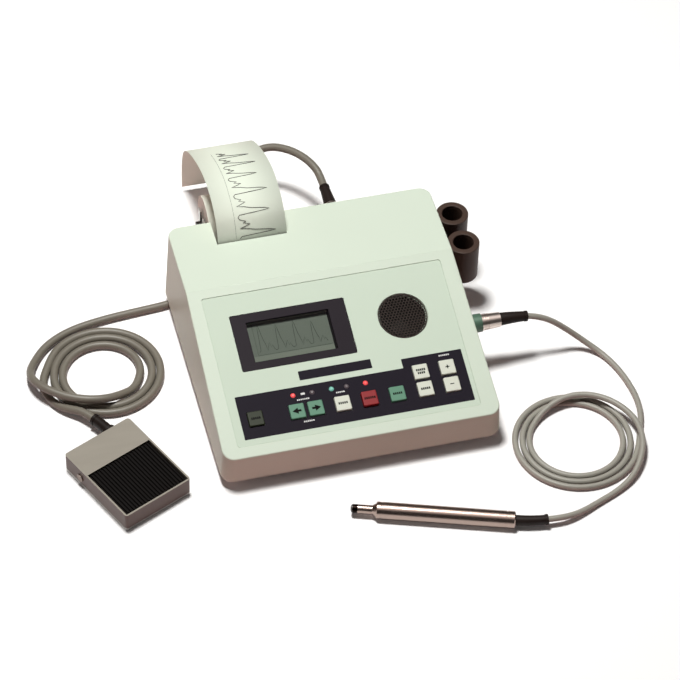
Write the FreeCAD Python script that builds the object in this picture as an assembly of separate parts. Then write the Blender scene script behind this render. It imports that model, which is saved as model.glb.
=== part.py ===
import FreeCAD, Part
import math
import os
from FreeCAD import Placement, Rotation, Vector

# Bidirectional doppler: a desk console with a strip printer, a pencil probe and a foot switch.
# Millimetres. Pieces are drawn about the console's own centre on the table and then shifted,
# so that the origin lies under the middle of console, probe, foot switch and paper together.
console_place_x = 46.0
console_place_y = -8.0

# General fits
cut_overrun = 5.0
fit_gap = 0.3
shaft_gap = 0.05
boot_sections = 6
turn_samples = 24

# Console case
console_width = 225.0
console_depth = 225.0
foot_height = 7.0
front_height = 28.3
rear_height = 69.3
panel_run = 149.5
side_flare = 3.8
case_wall = 3.0
case_corner_radius = 10.0
case_edge_radius = 1.2
base_thickness = 3.0
base_inset = 1.5
base_rim_height = 4.0
base_rim_wall = 2.0
foot_radius = 8.0
foot_chamfer = 1.0
foot_inset_x = 17.5
foot_inset_y = 32.5
pillar_radius = 4.0
pillar_inset_x = 11.5
pillar_inset_y = 13.5
screw_radius = 1.5
screw_length = 14.0
screw_head_radius = 3.0
screw_head_height = 1.8

# Front panel, measured across (u), up the slope (v) and outwards (w)
overlay_left_inset = 10.8
overlay_right_inset = 12.6
overlay_low = 10.0
overlay_high = 147.1
overlay_corner = 2.0
overlay_recess = 1.0
overlay_thickness = 0.6
window_width = 95.4
window_place_share = -0.15556
window_low = 75.6
window_high = 127.1
window_corner = 1.5
window_pocket = 1.0
display_width = 69.2
display_shift = -1.2
display_low = 82.4
display_high = 119.3
display_margin = 3.0
display_well = 3.0
module_thickness = 7.0
module_board_margin = 6.0
module_board_thickness = 1.6
speaker_place_share = 0.25378
speaker_v = 101.5
grille_radius = 20.6
grille_thickness = 1.2
grille_flange = 1.5
grille_hole_radius = 0.95
grille_hole_pitch = 2.65
grille_border = 1.2
speaker_frame_radius = 25.0
speaker_frame_thickness = 2.0
speaker_basket_radius = 21.0
speaker_depth = 18.0
magnet_radius = 13.0
magnet_thickness = 7.0

# Keys, lamps and the board behind them
key_width_share = 0.05556
key_height = 13.0
key_rise = 1.5
key_red_rise = 2.3
key_edge_radius = 0.8
key_corner_radius = 1.0
key_flange = 1.0
key_flange_thickness = 1.2
key_stem_width = 4.0
key_stem_length = 2.2
key_travel = 0.8
key_row_v = 32.4
key_row_pitch = 15.8
# Each key's place: across as a share of the console's width, and its row counted from the front
key_place_shares = {
    "key_menu": (-0.3645, 0),
    "key_left": (-0.2124, 0),
    "key_right": (-0.1436, 0),
    "key_probe": (-0.0444, 0),
    "key_freeze": (0.0542, 0),
    "key_scale": (0.1573, 0),
    "key_print": (0.2613, 0),
    "key_feed": (0.2613, 1),
    "key_volume_down": (0.3604, 0),
    "key_volume_up": (0.3604, 1),
}
lamp_radius = 2.0
lamp_rise = 0.6
lamp_row_v = 47.3
lamp_place_shares = (-0.2129, -0.1427, -0.0711, -0.0156, 0.0547)
key_board_low = 18.0
key_board_high = 63.0
key_board_left_share = -0.40889
key_board_right_share = 0.41778
key_board_thickness = 1.6
key_board_post_radius = 3.0
key_board_post_shares = (0.12, 0.57, 0.94)
key_board_post_inset = 2.5
switch_width = 6.0
switch_height = 3.4
switch_button_radius = 1.7

# Boards in the base
post_radius = 3.5
post_height = 6.0
board_thickness = 1.6
main_board_left_inset = 27.5
main_board_right_inset = 37.5
main_board_front_inset = 20.5
main_board_gap = 11.0
board_post_inset = 7.0
chip_size = 20.0
chip_height = 2.5
chip_place_shares = (0.22, 0.5, 0.76)
header_length = 36.0
header_width = 8.0
header_height = 9.0
supply_right_inset = 26.0
supply_width = 50.0
supply_depth = 60.0
supply_inlet_gap = 2.5
transformer_length = 34.0
transformer_width = 30.0
transformer_height = 26.0
capacitor_radius = 6.0
capacitor_height = 20.0
heat_sink_height = 14.0
heat_sink_wall = 2.0
heat_sink_fins = 5
heat_sink_pitch = 5.0
heat_sink_length = 44.0

# Mains inlet and power switch in the rear wall
inlet_inset = 34.5
inlet_z = 29.0
inlet_flange_width = 31.0
inlet_flange_margin = 2.5
inlet_flange_thickness = 2.5
inlet_flange_corner = 4.0
inlet_body_width = 28.0
inlet_body_height = 20.0
inlet_depth = 19.0
inlet_cavity_width = 24.6
inlet_cavity_height = 16.4
inlet_cavity_depth = 16.0
inlet_cavity_chamfer = 4.0
inlet_pin_width = 2.0
inlet_pin_height = 4.0
inlet_pin_length = 10.0
inlet_pin_spread = 7.0
inlet_pin_lift = 2.0
rocker_lift = 20.0
rocker_well_width = 19.0
rocker_well_height = 13.0
rocker_well_depth = 8.0
rocker_side_gap = 0.5
rocker_end_gap = 1.2
rocker_rise = 3.0
rocker_dip = 1.8
rocker_skirt = 2.0
rocker_keel = 4.0
rocker_pivot_depth = 1.0
rocker_pin_radius = 1.2
rocker_pin_reach = 1.2
rocker_tilt = 9.0

# Strip printer in the notch of the case's flat top
notch_inset = 37.2
notch_width = 59.1
notch_depth = 27.3
notch_rear_bottom = 27.0
frame_side_margin = 3.7
frame_width = 68.5
frame_sheet = 1.5
frame_front_inset = 48.5
frame_rear_inset = 6.0
frame_top = 72.0
frame_beam_inset = 36.5
frame_beam_low = 44.0
frame_beam_high = 60.0
platen_inset = 18.5
platen_z = 52.0
platen_radius = 7.0
platen_margin = 2.5
platen_shaft_reach = 1.0
platen_shaft_radius = 3.0
head_margin = 5.0
head_face_height = 8.0
gear_module = 0.8
platen_teeth = 34
motor_teeth = 17
gear_width = 4.0
gear_backlash = 0.2
pressure_angle = 20.0
tooth_root_share = 1.25
gear_side_gap = 0.5
motor_angle = 230.0
motor_radius = 7.0
motor_length = 18.0
motor_shaft_radius = 1.5

# Paper roll behind the rear wall and the printed strip
paper_side_gap = 0.8
paper_width = 58.0
paper_thickness = 0.3
roll_standoff = 25.5
roll_z = 47.5
roll_radius = 25.0
roll_side_gap = 1.5
spindle_radius = 6.0
spindle_end_radius = 4.0
bracket_sheet = 1.5
bracket_low = 12.0
bracket_high = 26.0
bracket_arm_top = 12.0
bracket_arm_end = 10.0
spindle_overhang = 4.0
# The printed strip up through the slot, over and down: its reach behind the rear wall, and its height
strip_crest_front_z = 100.5
strip_crest_rear_reach = 27.5
strip_crest_rear_z = 108.0
strip_knee_reach = 99.5
strip_knee_z = 69.5
strip_hang_reach = 118.0
strip_hang_z = 38.0
strip_end_reach = 117.0
strip_end_z = 5.0

# Probe holders on the right wall
holder_standoff = 14.5
holder_rear_inset = 26.2
holder_pitch = 34.6
holder_top_z = 63.2
holder_height = 33.0
holder_radius = 13.5
holder_bore_radius = 8.5
holder_bore_depth = 30.0
holder_bevel_width = 4.0
holder_bevel_drop = 4.0
holder_round_share = 0.29
holder_plate_width = 14.0
holder_plate_thickness = 5.0

# Sockets in the case and the round plugs in them
side_socket_setback = 91.0
side_socket_z = 45.0
rear_socket_share = 0.15556
rear_socket_z = 47.0
collar_radius = 7.75
collar_length = 8.0
socket_thread_radius = 6.0
socket_thread_length = 12.0
socket_nut_radius = 8.5
socket_nut_thickness = 2.5
plug_length = 16.0
plug_front_radius = 7.05
plug_rear_radius = 6.2
plug_groove_width = 0.8
plug_groove_depth = 0.4
plug_grooves = 3
boot_length = 23.5
boot_root_radius = 5.5
boot_tip_radius = 4.0
boot_ring_radius = 4.5
boot_ring_length = 2.0
side_boot_droop = 8.0

# Pencil probe lying on the table, placed from the foot of the side socket
probe_barrel_front_x = -116.1
probe_barrel_front_y = -144.0
probe_angle = -18.64
barrel_radius = 7.0
barrel_length = 111.0
barrel_chamfer = 0.8
barrel_groove_width = 0.8
barrel_groove_depth = 0.4
barrel_groove_front = 4.0
barrel_groove_rear = 7.0
barrel_bore_radius = 2.8
nose_radius = 3.6
nose_length = 15.5
nose_shoulder_radius = 5.6
nose_shoulder_length = 3.0
lens_length = 3.5
lens_radius = 3.4
crystal_width = 5.0
crystal_thickness = 1.2
crystal_gap = 0.6
probe_boot_length = 26.0
probe_boot_root_radius = 4.2
probe_boot_tip_radius = 3.8
probe_boot_ring_radius = 4.4
probe_boot_ring_length = 2.0
probe_boot_bend = 14.0

# Foot switch, placed from the case's rear left corner
pedal_x = -75.6
pedal_y = -197.3
pedal_angle = 24.9
pedal_length = 83.0
pedal_width = 64.0
pedal_height = 18.0
pedal_sheet = 1.5
pedal_bend_radius = 2.5
pedal_band = 29.5
pedal_base_thickness = 2.5
treadle_gap = 0.8
treadle_sheet = 2.0
treadle_cheek = 6.0
treadle_drop = 0.6
pad_thickness = 3.2
pad_margin = 0.8
pad_ribs = 20
pad_rib_height = 1.4
pad_rib_width_share = 0.55
pivot_setback = 8.0
treadle_overhang = 4.0
treadle_cheek_drop = 4.0
pivot_z = 9.0
pivot_radius = 2.0
pivot_head_radius = 3.5
pivot_head_height = 1.0
microswitch_length = 20.0
microswitch_width = 6.4
microswitch_height = 5.5
microswitch_button = 1.0
microswitch_front = -22.0
spring_radius = 4.5
spring_wire = 0.9
spring_y = -6.0
gland_x = 15.0
gland_z = 9.0
gland_length = 22.6
gland_root_radius = 5.0
gland_tip_radius = 4.3
gland_nut_radius = 6.3
gland_nut_length = 5.0
gland_bend = 10.0

# Probe cord on the table: a lead from the plug, a flat coil and a tail to the probe,
# placed from the foot of the side socket
probe_cord_radius = 2.5
probe_coil_x = 61.1
probe_coil_y = -106.2
probe_coil_outer = 52.5
probe_coil_pitch = 6.2
probe_coil_angle = -20.0
probe_coil_half_turns = 5
probe_coil_tuck = 6.0
probe_lead_first_run = 9.0
probe_lead_last_run = 12.0
probe_tail_first_run = 11.0
probe_tail_last_run = 10.5
probe_lead_points = [
    (72.0, -1.3, 37.0), (89.0, -2.5, 21.5), (104.0, -7.5, 9.0), (116.0, -19.5, 2.5),
    (123.0, -37.5, 2.5), (126.5, -57.5, 2.5), (126.8, -76.0, 2.5), (123.1, -93.0, 2.5),
]
probe_tail_points = [
    (48.0, -70.5, 6.2), (64.0, -64.7, 9.6), (81.9, -66.3, 10.8), (97.5, -75.0, 10.8),
    (108.6, -89.0, 10.8), (114.5, -106.1, 10.8), (113.5, -124.2, 10.2), (106.7, -141.0, 8.0),
    (95.0, -156.0, 4.6), (79.0, -166.0, 2.6), (61.5, -173.3, 2.6), (47.5, -179.7, 3.6),
    (36.5, -183.7, 5.4),
]

# Foot switch cord on the table: a lead from the rear plug, a flat coil and a tail to the foot switch,
# placed from the case's rear left corner
pedal_cord_radius = 3.4
pedal_coil_x = -70.5
pedal_coil_y = -81.5
pedal_coil_inner = 20.0
pedal_coil_tuck = 11.9
pedal_coil_pitch = 7.2
pedal_coil_angle = -20.0
pedal_coil_half_turns = 5
pedal_lead_first_run = 10.0
pedal_lead_last_run = 16.0
pedal_tail_first_run = 9.0
pedal_tail_last_run = 12.0
pedal_lead_points = [
    (145.5, 69.0, 50.0), (138.0, 85.0, 50.5), (126.5, 99.0, 49.0), (113.0, 108.0, 46.0),
    (99.0, 108.5, 41.0), (87.0, 100.5, 33.5), (79.0, 87.0, 25.0), (74.2, 71.0, 16.8),
    (69.5, 55.0, 9.5), (62.0, 40.0, 4.9), (53.5, 26.0, 3.4), (44.0, 12.5, 3.4),
    (33.0, 0.5, 3.4), (20.5, -8.5, 3.4), (6.5, -14.3, 3.4), (-8.0, -17.1, 3.4),
    (-23.0, -18.2, 3.4), (-38.5, -19.5, 3.4), (-54.0, -20.9, 3.4), (-69.5, -23.2, 3.4),
    (-85.0, -26.5, 3.4), (-100.0, -32.5, 3.4), (-113.5, -41.5, 3.4), (-123.5, -53.5, 3.4),
    (-131.0, -67.5, 6.2), (-131.4, -82.0, 11.2), (-124.6, -95.3, 14.2), (-113.3, -105.6, 14.2),
    (-101.0, -113.0, 14.2), (-87.5, -117.5, 14.0), (-73.8, -117.0, 12.0),
]
pedal_tail_points = [
    (-123.3, -91.0, 3.4), (-119.8, -100.5, 3.4), (-114.0, -110.0, 4.4), (-106.5, -117.0, 6.7),
]

# Places worked out from the sizes above
case_bottom_z = foot_height + base_thickness
case_front_z = foot_height + front_height
case_top_z = foot_height + rear_height
case_front_y = -console_depth / 2
case_rear_y = console_depth / 2
half_width = console_width / 2
pillar_x = half_width - pillar_inset_x
pillar_y = case_rear_y - pillar_inset_y
foot_x = half_width - foot_inset_x
foot_y = case_rear_y - foot_inset_y
panel_slope = math.degrees(math.atan2(case_top_z - case_front_z, panel_run))
panel_place = Placement(Vector(0, case_front_y, case_front_z), Rotation(Vector(1, 0, 0), panel_slope))
overlay_left = overlay_left_inset - half_width
overlay_right = half_width - overlay_right_inset
overlay_top = overlay_thickness - overlay_recess
window_left = console_width * window_place_share - window_width / 2
window_right = window_left + window_width
display_left = (window_left + window_right - display_width) / 2 + display_shift
display_right = display_left + display_width
speaker_u = console_width * speaker_place_share
key_width = console_width * key_width_share
key_board_left = console_width * key_board_left_share
key_board_right = console_width * key_board_right_share
pocket_floor = -overlay_recess - window_pocket
key_flange_top = -case_wall - fit_gap
key_stem_bottom = key_flange_top - key_flange_thickness - key_stem_length
key_board_top = key_stem_bottom - key_travel - fit_gap - switch_height
board_bottom_z = case_bottom_z + post_height
board_top_z = board_bottom_z + board_thickness
inlet_x = half_width - inlet_inset
supply_right = half_width - supply_right_inset
supply_left = supply_right - supply_width
supply_rear = case_rear_y - inlet_depth - supply_inlet_gap
supply_front = supply_rear - supply_depth
main_board_left = main_board_left_inset - half_width
main_board_right = half_width - main_board_right_inset
main_board_front = case_front_y + main_board_front_inset
main_board_rear = supply_front - main_board_gap
notch_left = notch_inset - half_width
notch_right = notch_left + notch_width
notch_front = case_rear_y - notch_depth
frame_left = notch_left - frame_side_margin
frame_right = frame_left + frame_width
frame_front = case_rear_y - frame_front_inset
frame_rear = case_rear_y - frame_rear_inset
frame_beam_front = case_rear_y - frame_beam_inset
platen_y = case_rear_y - platen_inset
paper_left = notch_left + paper_side_gap
paper_right = paper_left + paper_width
roll_y = case_rear_y + roll_standoff
holder_x = half_width + holder_standoff
holder_rear_y = case_rear_y - holder_rear_inset
holder_front_y = holder_rear_y - holder_pitch
side_socket_y = case_front_y + side_socket_setback
side_socket_foot = Vector(half_width, side_socket_y, 0)
rear_socket_x = console_width * rear_socket_share
rear_corner_foot = Vector(-half_width, case_rear_y, 0)
inlet_middle_z = inlet_z + rocker_lift / 2
inlet_module_height = inlet_body_height + rocker_lift
x_axis = Vector(1, 0, 0)
y_axis = Vector(0, 1, 0)
z_axis = Vector(0, 0, 1)


def block(low, high):
    """A box between two opposite corners."""
    size = [far - near for near, far in zip(low, high)]
    return Part.makeBox(size[0], size[1], size[2], Vector(*low))


def rounded_block(low, high, corner):
    """A box whose upright edges are rounded."""
    shape = block(low, high)
    upright = [edge for edge in shape.Edges if edge.BoundBox.ZLength > fit_gap]
    upright = [edge for edge in upright if edge.BoundBox.XLength < fit_gap and edge.BoundBox.YLength < fit_gap]
    return shape.makeFillet(corner, upright)


def rod(radius, start, direction, length):
    """A round bar from a point along a direction."""
    return Part.makeCylinder(radius, length, start, direction)


def turned(outline, start=Vector(0, 0, 0), direction=x_axis):
    """A turned piece from its half outline of (distance along the axis, radius)."""
    points = [Vector(along, radius, 0) for along, radius in outline]
    face = Part.Face(Part.makePolygon(points + points[:1]))
    shape = face.revolve(Vector(0, 0, 0), x_axis, 360)
    shape.Placement = Placement(start, Rotation(x_axis, direction))
    return shape


def side_plate(outline, left, right):
    """An upright plate across X from its outline of (y, z)."""
    points = [Vector(left, y, z) for y, z in outline]
    return Part.Face(Part.makePolygon(points + points[:1])).extrude(Vector(right - left, 0, 0))


def joined(first, *others):
    """One solid from pieces that touch or overlap."""
    return first.fuse(list(others)).removeSplitter()


def placed(shape, place):
    """A copy of a shape moved by a placement."""
    moved = shape.copy()
    moved.Placement = place.multiply(moved.Placement)
    return moved


def save(name, *solids):
    """Write a node, shifted from the console's centre to the part's origin."""
    shape = solids[0] if len(solids) == 1 else Part.makeCompound(list(solids))
    shift = Placement(Vector(console_place_x, console_place_y, 0), Rotation())
    placed(shape, shift).exportStep(f"parts/{name}.step")
    print(name, "solids", len(shape.Solids), "valid", shape.isValid(), "volume", round(shape.Volume))


def rounded_path(points, radius_share=0.45, radii=None):
    """Straight runs joined by tangent arcs, as large as the shorter run allows unless a radius is given."""
    edges = []
    start = points[0]
    used_radii = []
    for index in range(1, len(points) - 1):
        corner = points[index]
        back = points[index - 1] - corner
        ahead = points[index + 1] - corner
        half_turn = (math.pi - back.getAngle(ahead)) / 2
        setback = radius_share * min(back.Length, ahead.Length)
        if radii and radii[index]:
            setback = radii[index] * math.tan(half_turn)
        radius = setback / math.tan(half_turn)
        back.normalize()
        ahead.normalize()
        first = corner + back * setback
        last = corner + ahead * setback
        bisector = (back + ahead).normalize()
        middle = corner + bisector * (radius / math.cos(half_turn) - radius)
        edges.append(Part.LineSegment(start, first).toShape())
        edges.append(Part.Arc(first, middle, last).toShape())
        start = last
        used_radii.append(radius)
    edges.append(Part.LineSegment(start, points[-1]).toShape())
    return Part.Wire(edges), used_radii


def swept(path, profile):
    """One solid from a closed profile carried along a path."""
    shell = Part.BRepOffsetAPI.MakePipeShell(path)
    shell.add(profile)
    shell.build()
    shell.makeSolid()
    return shell.shape()


def cord_tube(points, radius, name):
    """A round cord along its route, with its tightest bend and its volume printed."""
    path, radii = rounded_path(points)
    heading = points[1] - points[0]
    profile = Part.Wire(Part.Circle(points[0], heading, radius).toShape())
    tube = swept(path, profile)
    expected = math.pi * radius ** 2 * path.Length
    print(name, "length", round(path.Length, 1), "radii", [round(value, 1) for value in radii],
          "volume share", round(tube.Volume / expected, 4))
    return tube


def flat_coil(centre, distances, start_angle, turning, radius):
    """A flat coil of half turns; distances are from its centre at each half turn, turning is 1 or -1."""
    angle = math.radians(start_angle)
    axis = Vector(math.cos(angle), math.sin(angle), 0)
    side = Vector(-axis.y, axis.x, 0) * turning
    lead = 2 * radius
    sign = 1
    start = centre + axis * distances[0]
    first = start - side * lead
    edges = [Part.LineSegment(first, start).toShape()]
    turn_points = []
    for near, far in zip(distances, distances[1:]):
        end = centre - axis * (sign * far)
        middle_of_turn = (start + end) / 2
        turn_radius = (near + far) / 2
        middle = middle_of_turn + side * (sign * turn_radius)
        arc = Part.Arc(start, middle, end).toShape()
        edges.append(arc)
        turn_points.append(arc.discretize(turn_samples))
        start = end
        sign = -sign
    last = start + side * (sign * lead)
    edges.append(Part.LineSegment(start, last).toShape())
    gaps = []
    for index, inner in enumerate(turn_points):
        for outer in turn_points[index + 2:]:
            gaps += [(point - other).Length - lead for point in inner for other in outer]
    profile = Part.Wire(Part.Circle(first, side, radius).toShape())
    coil = swept(Part.Wire(edges), profile)
    print("coil least gap to itself", round(min(gaps), 2), "length", round(sum(e.Length for e in edges), 1))
    return coil, first, side, last, side * sign


def bent_boot(length, root_radius, tip_radius, ring_radius, ring_length, bend):
    """A tapered strain relief along X that bends towards +Y, with a ring at its end; also its end's place."""
    sections = []
    angle = math.radians(bend)
    for step in range(boot_sections + 1):
        share = step / boot_sections
        turn = angle * share
        centre = Vector(length * share, 0, 0)
        if bend:
            centre = Vector(math.sin(turn), 1 - math.cos(turn), 0) * (length / angle)
        heading = Vector(math.cos(turn), math.sin(turn), 0)
        radius = root_radius + (tip_radius - root_radius) * share
        sections.append(Part.Wire(Part.Circle(centre, heading, radius).toShape()))
    boot = Part.makeLoft(sections, True)
    ring = rod(ring_radius, centre - heading * ring_length, heading, ring_length)
    return joined(boot, ring), centre, heading


def panel_block(left, right, low, high, bottom, top, corner=0):
    """A plate or pocket on the sloping panel."""
    low_corner = (left, low, bottom)
    high_corner = (right, high, top)
    shape = rounded_block(low_corner, high_corner, corner) if corner else block(low_corner, high_corner)
    return placed(shape, panel_place)


def panel_rod(u, v, bottom, top, radius):
    """A round pin or hole square to the sloping panel."""
    return placed(rod(radius, Vector(u, v, bottom), z_axis, top - bottom), panel_place)


def key_place(name):
    """A key's centre on the panel."""
    across_share, row = key_place_shares[name]
    return console_width * across_share, key_row_v + key_row_pitch * row


def lamp_places():
    """The lamps' centres on the panel."""
    return [(console_width * share, lamp_row_v) for share in lamp_place_shares]


def case_wedge(inset, bottom_z):
    """The console's wedge with its flared sides, drawn in by an inset."""
    slope = math.radians(panel_slope)
    front = case_front_y + inset
    rear = case_rear_y - inset
    top = case_top_z - inset
    drop = inset / math.cos(slope)
    front_top = case_front_z + inset * math.tan(slope) - drop
    break_y = case_front_y + (top - case_front_z + drop) / math.tan(slope)
    half = console_width / 2 + side_flare - inset
    flare_slope = side_flare / (case_top_z - case_bottom_z)
    low_half = half + (case_bottom_z - bottom_z) * flare_slope
    high_half = half - (top - case_bottom_z) * flare_slope
    profile = [(front, bottom_z), (front, front_top), (break_y, top), (rear, top), (rear, bottom_z)]
    lengthwise = side_plate(profile, -low_half, low_half)
    corners = [(-low_half, bottom_z), (low_half, bottom_z), (high_half, top), (-high_half, top)]
    points = [Vector(x, front, z) for x, z in corners]
    crosswise = Part.Face(Part.makePolygon(points + points[:1])).extrude(Vector(0, rear - front, 0))
    return lengthwise.common(crosswise)


def rounded_wedge(inset, bottom_z):
    """The wedge with its four upright corners rounded, drawn in by an inset."""
    wedge = case_wedge(inset, bottom_z)
    upright = [edge for edge in wedge.Edges if edge.BoundBox.ZLength > front_height / 2]
    upright = [edge for edge in upright if edge.BoundBox.YLength < fit_gap]
    return wedge.makeFillet(case_corner_radius - inset, upright)


def outer_wedge():
    """The outside of the upper case with its corners rounded and its upper edges broken."""
    wedge = rounded_wedge(0, case_bottom_z)
    soft = [edge for edge in wedge.Edges if edge.BoundBox.ZMin > case_bottom_z + fit_gap]
    return wedge.makeFillet(case_edge_radius, soft)


def pillar_places():
    """The screw pillars' centres."""
    return [(x, y) for x in (-pillar_x, pillar_x) for y in (-pillar_y, pillar_y)]


def key_board_posts():
    """The board posts' centres on the panel."""
    width = key_board_right - key_board_left
    across = [key_board_left + width * share for share in key_board_post_shares]
    up = (key_board_low + key_board_post_inset, key_board_high - key_board_post_inset)
    return [(u, v) for u in across for v in up]


def upper_case():
    """The moulded wedge: shell, screw pillars, panel pockets and openings in its walls."""
    outer = outer_wedge()
    cavity = rounded_wedge(case_wall, case_bottom_z - cut_overrun)
    pillars = [rod(pillar_radius, Vector(x, y, case_bottom_z), z_axis, rear_height) for x, y in pillar_places()]
    posts = [panel_rod(u, v, key_board_top, 0, key_board_post_radius) for u, v in key_board_posts()]
    inner_parts = Part.makeCompound(pillars + posts).common(outer)
    shell = outer.cut(cavity).fuse(inner_parts.Solids)
    above = cut_overrun
    below = -case_wall - cut_overrun
    cuts = [
        panel_block(overlay_left, overlay_right, overlay_low, overlay_high, -overlay_recess, above,
                    overlay_corner),
        panel_block(window_left - fit_gap, window_right + fit_gap, window_low - fit_gap, window_high + fit_gap,
                    pocket_floor, above, window_corner),
        panel_block(display_left - display_margin, display_right + display_margin,
                    display_low - display_margin, display_high + display_margin, below, above),
        panel_rod(speaker_u, speaker_v, pocket_floor, above, grille_radius + fit_gap),
        panel_rod(speaker_u, speaker_v, below, above, grille_radius - grille_flange),
        block((notch_left, notch_front, notch_rear_bottom),
              (notch_right, case_rear_y + cut_overrun, case_top_z + cut_overrun)),
    ]
    for name in key_place_shares:
        u, v = key_place(name)
        across = key_width / 2 + fit_gap
        half_height = key_height / 2 + fit_gap
        cuts.append(panel_block(u - across, u + across, v - half_height, v + half_height, below, above))
    cuts += [panel_rod(u, v, below, above, lamp_radius + shaft_gap) for u, v in lamp_places()]
    cuts += [rod(screw_radius, Vector(x, y, case_bottom_z), z_axis, screw_length) for x, y in pillar_places()]
    hole_length = case_wall + side_flare + cut_overrun
    cuts.append(rod(socket_thread_radius + shaft_gap, Vector(console_width / 2 - case_wall - cut_overrun,
                    side_socket_y, side_socket_z), x_axis, hole_length + cut_overrun))
    cuts.append(rod(socket_thread_radius + shaft_gap, Vector(rear_socket_x, case_rear_y - hole_length,
                    rear_socket_z), y_axis, hole_length + cut_overrun))
    cuts.append(rear_opening(inlet_x, inlet_middle_z, inlet_body_width + fit_gap,
                             inlet_module_height + fit_gap))
    return shell.cut(cuts).removeSplitter()


def rear_opening(x, z, width, height):
    """A rectangular hole through the rear wall."""
    low = (x - width / 2, case_rear_y - case_wall - cut_overrun, z - height / 2)
    return block(low, (x + width / 2, case_rear_y + cut_overrun, z + height / 2))


def board_posts(left, right, front, rear):
    """The corner posts' centres under a board."""
    across = (left + board_post_inset, right - board_post_inset)
    along = (front + board_post_inset, rear - board_post_inset)
    return [(x, y) for x in across for y in along]


def lower_case():
    """The base plate with its locating rim, board posts and sunk screw holes."""
    half_x = console_width / 2 + side_flare - base_inset
    half_y = console_depth / 2 - base_inset
    corner = case_corner_radius - base_inset
    plate = rounded_block((-half_x, -half_y, foot_height), (half_x, half_y, case_bottom_z), corner)
    rim_x = console_width / 2 - case_wall + side_flare / 2
    rim_y = console_depth / 2 - case_wall - fit_gap
    rim_top = case_bottom_z + base_rim_height
    rim = rounded_block((-rim_x, -rim_y, case_bottom_z), (rim_x, rim_y, rim_top), corner)
    rim = rim.cut(block((base_rim_wall - rim_x, base_rim_wall - rim_y, case_bottom_z),
                        (rim_x - base_rim_wall, rim_y - base_rim_wall, rim_top)))
    places = board_posts(main_board_left, main_board_right, main_board_front, main_board_rear)
    places += board_posts(supply_left, supply_right, supply_front, supply_rear)
    posts = [rod(post_radius, Vector(x, y, case_bottom_z), z_axis, post_height) for x, y in places]
    shape = joined(plate, rim, *posts)
    cuts = []
    for x, y in pillar_places():
        low = Vector(x, y, foot_height - cut_overrun)
        cuts.append(rod(screw_radius + shaft_gap, low, z_axis, base_thickness + 2 * cut_overrun))
        cuts.append(rod(screw_head_radius + fit_gap, low, z_axis, screw_head_height + cut_overrun))
        cuts.append(rod(pillar_radius + fit_gap, Vector(x, y, case_bottom_z), z_axis, base_rim_height))
    return shape.cut(cuts).removeSplitter()


def case_screws():
    """Four pan-head screws that hold the base to the pillars."""
    outline = [(0, 0), (0, screw_head_radius), (screw_head_height, screw_head_radius),
               (screw_head_height, screw_radius - shaft_gap),
               (screw_length, screw_radius - shaft_gap), (screw_length, 0)]
    return [turned(outline, Vector(x, y, foot_height), z_axis) for x, y in pillar_places()]


def rubber_feet():
    """Four round feet under the base."""
    outline = [(0, 0), (0, foot_radius - foot_chamfer), (foot_chamfer, foot_radius),
               (foot_height, foot_radius), (foot_height, 0)]
    places = [(x, y) for x in (-foot_x, foot_x) for y in (-foot_y, foot_y)]
    return [turned(outline, Vector(x, y, 0), z_axis) for x, y in places]


def front_overlay():
    """The thin panel sheet with openings for window, grille, keys and lamps."""
    bottom = -overlay_recess
    sheet = panel_block(overlay_left + fit_gap, overlay_right - fit_gap, overlay_low + fit_gap,
                        overlay_high - fit_gap, bottom, overlay_top, overlay_corner)
    low = bottom - cut_overrun
    high = cut_overrun
    cuts = [panel_block(window_left - fit_gap, window_right + fit_gap, window_low - fit_gap,
                        window_high + fit_gap, low, high, window_corner)]
    cuts.append(panel_rod(speaker_u, speaker_v, low, high, grille_radius + fit_gap))
    for name in key_place_shares:
        u, v = key_place(name)
        across = key_width / 2 + fit_gap
        half_height = key_height / 2 + fit_gap
        cuts.append(panel_block(u - across, u + across, v - half_height, v + half_height, low, high))
    cuts += [panel_rod(u, v, low, high, lamp_radius + shaft_gap) for u, v in lamp_places()]
    return sheet.cut(cuts)


def display_parts():
    """The clear window in its pocket and the display module behind the opening."""
    window = panel_block(window_left, window_right, window_low, window_high, pocket_floor, overlay_top,
                         window_corner)
    margin = 2 * display_margin
    top = -case_wall
    bottom = top - module_thickness
    frame = panel_block(display_left - margin, display_right + margin, display_low - margin,
                        display_high + margin, bottom, top)
    glass_well = panel_block(display_left, display_right, display_low, display_high, top - display_well,
                             top + cut_overrun)
    reach = margin + module_board_margin
    board = panel_block(display_left - reach, display_right + reach, display_low - reach, display_high + reach,
                        bottom - module_board_thickness, bottom)
    return window, joined(frame.cut(glass_well), board)


def grille_holes():
    """Six-sided holes in staggered rows inside the grille's border."""
    reach = grille_radius - grille_flange - grille_border
    row_step = grille_hole_pitch * math.sin(math.radians(60))
    rows = int(reach / row_step)
    holes = []
    for row in range(-rows, rows + 1):
        shift = grille_hole_pitch / 2 if row % 2 else 0
        columns = int(reach / grille_hole_pitch) + 1
        for column in range(-columns, columns + 1):
            u = column * grille_hole_pitch + shift
            v = row * row_step
            if math.hypot(u, v) + grille_hole_radius > reach:
                continue
            corners = [Vector(u + grille_hole_radius * math.sin(math.radians(60 * corner)),
                              v + grille_hole_radius * math.cos(math.radians(60 * corner)),
                              -cut_overrun) for corner in range(6)]
            face = Part.Face(Part.makePolygon(corners + corners[:1]))
            holes.append(face.extrude(Vector(0, 0, 2 * cut_overrun)))
    return holes


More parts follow.
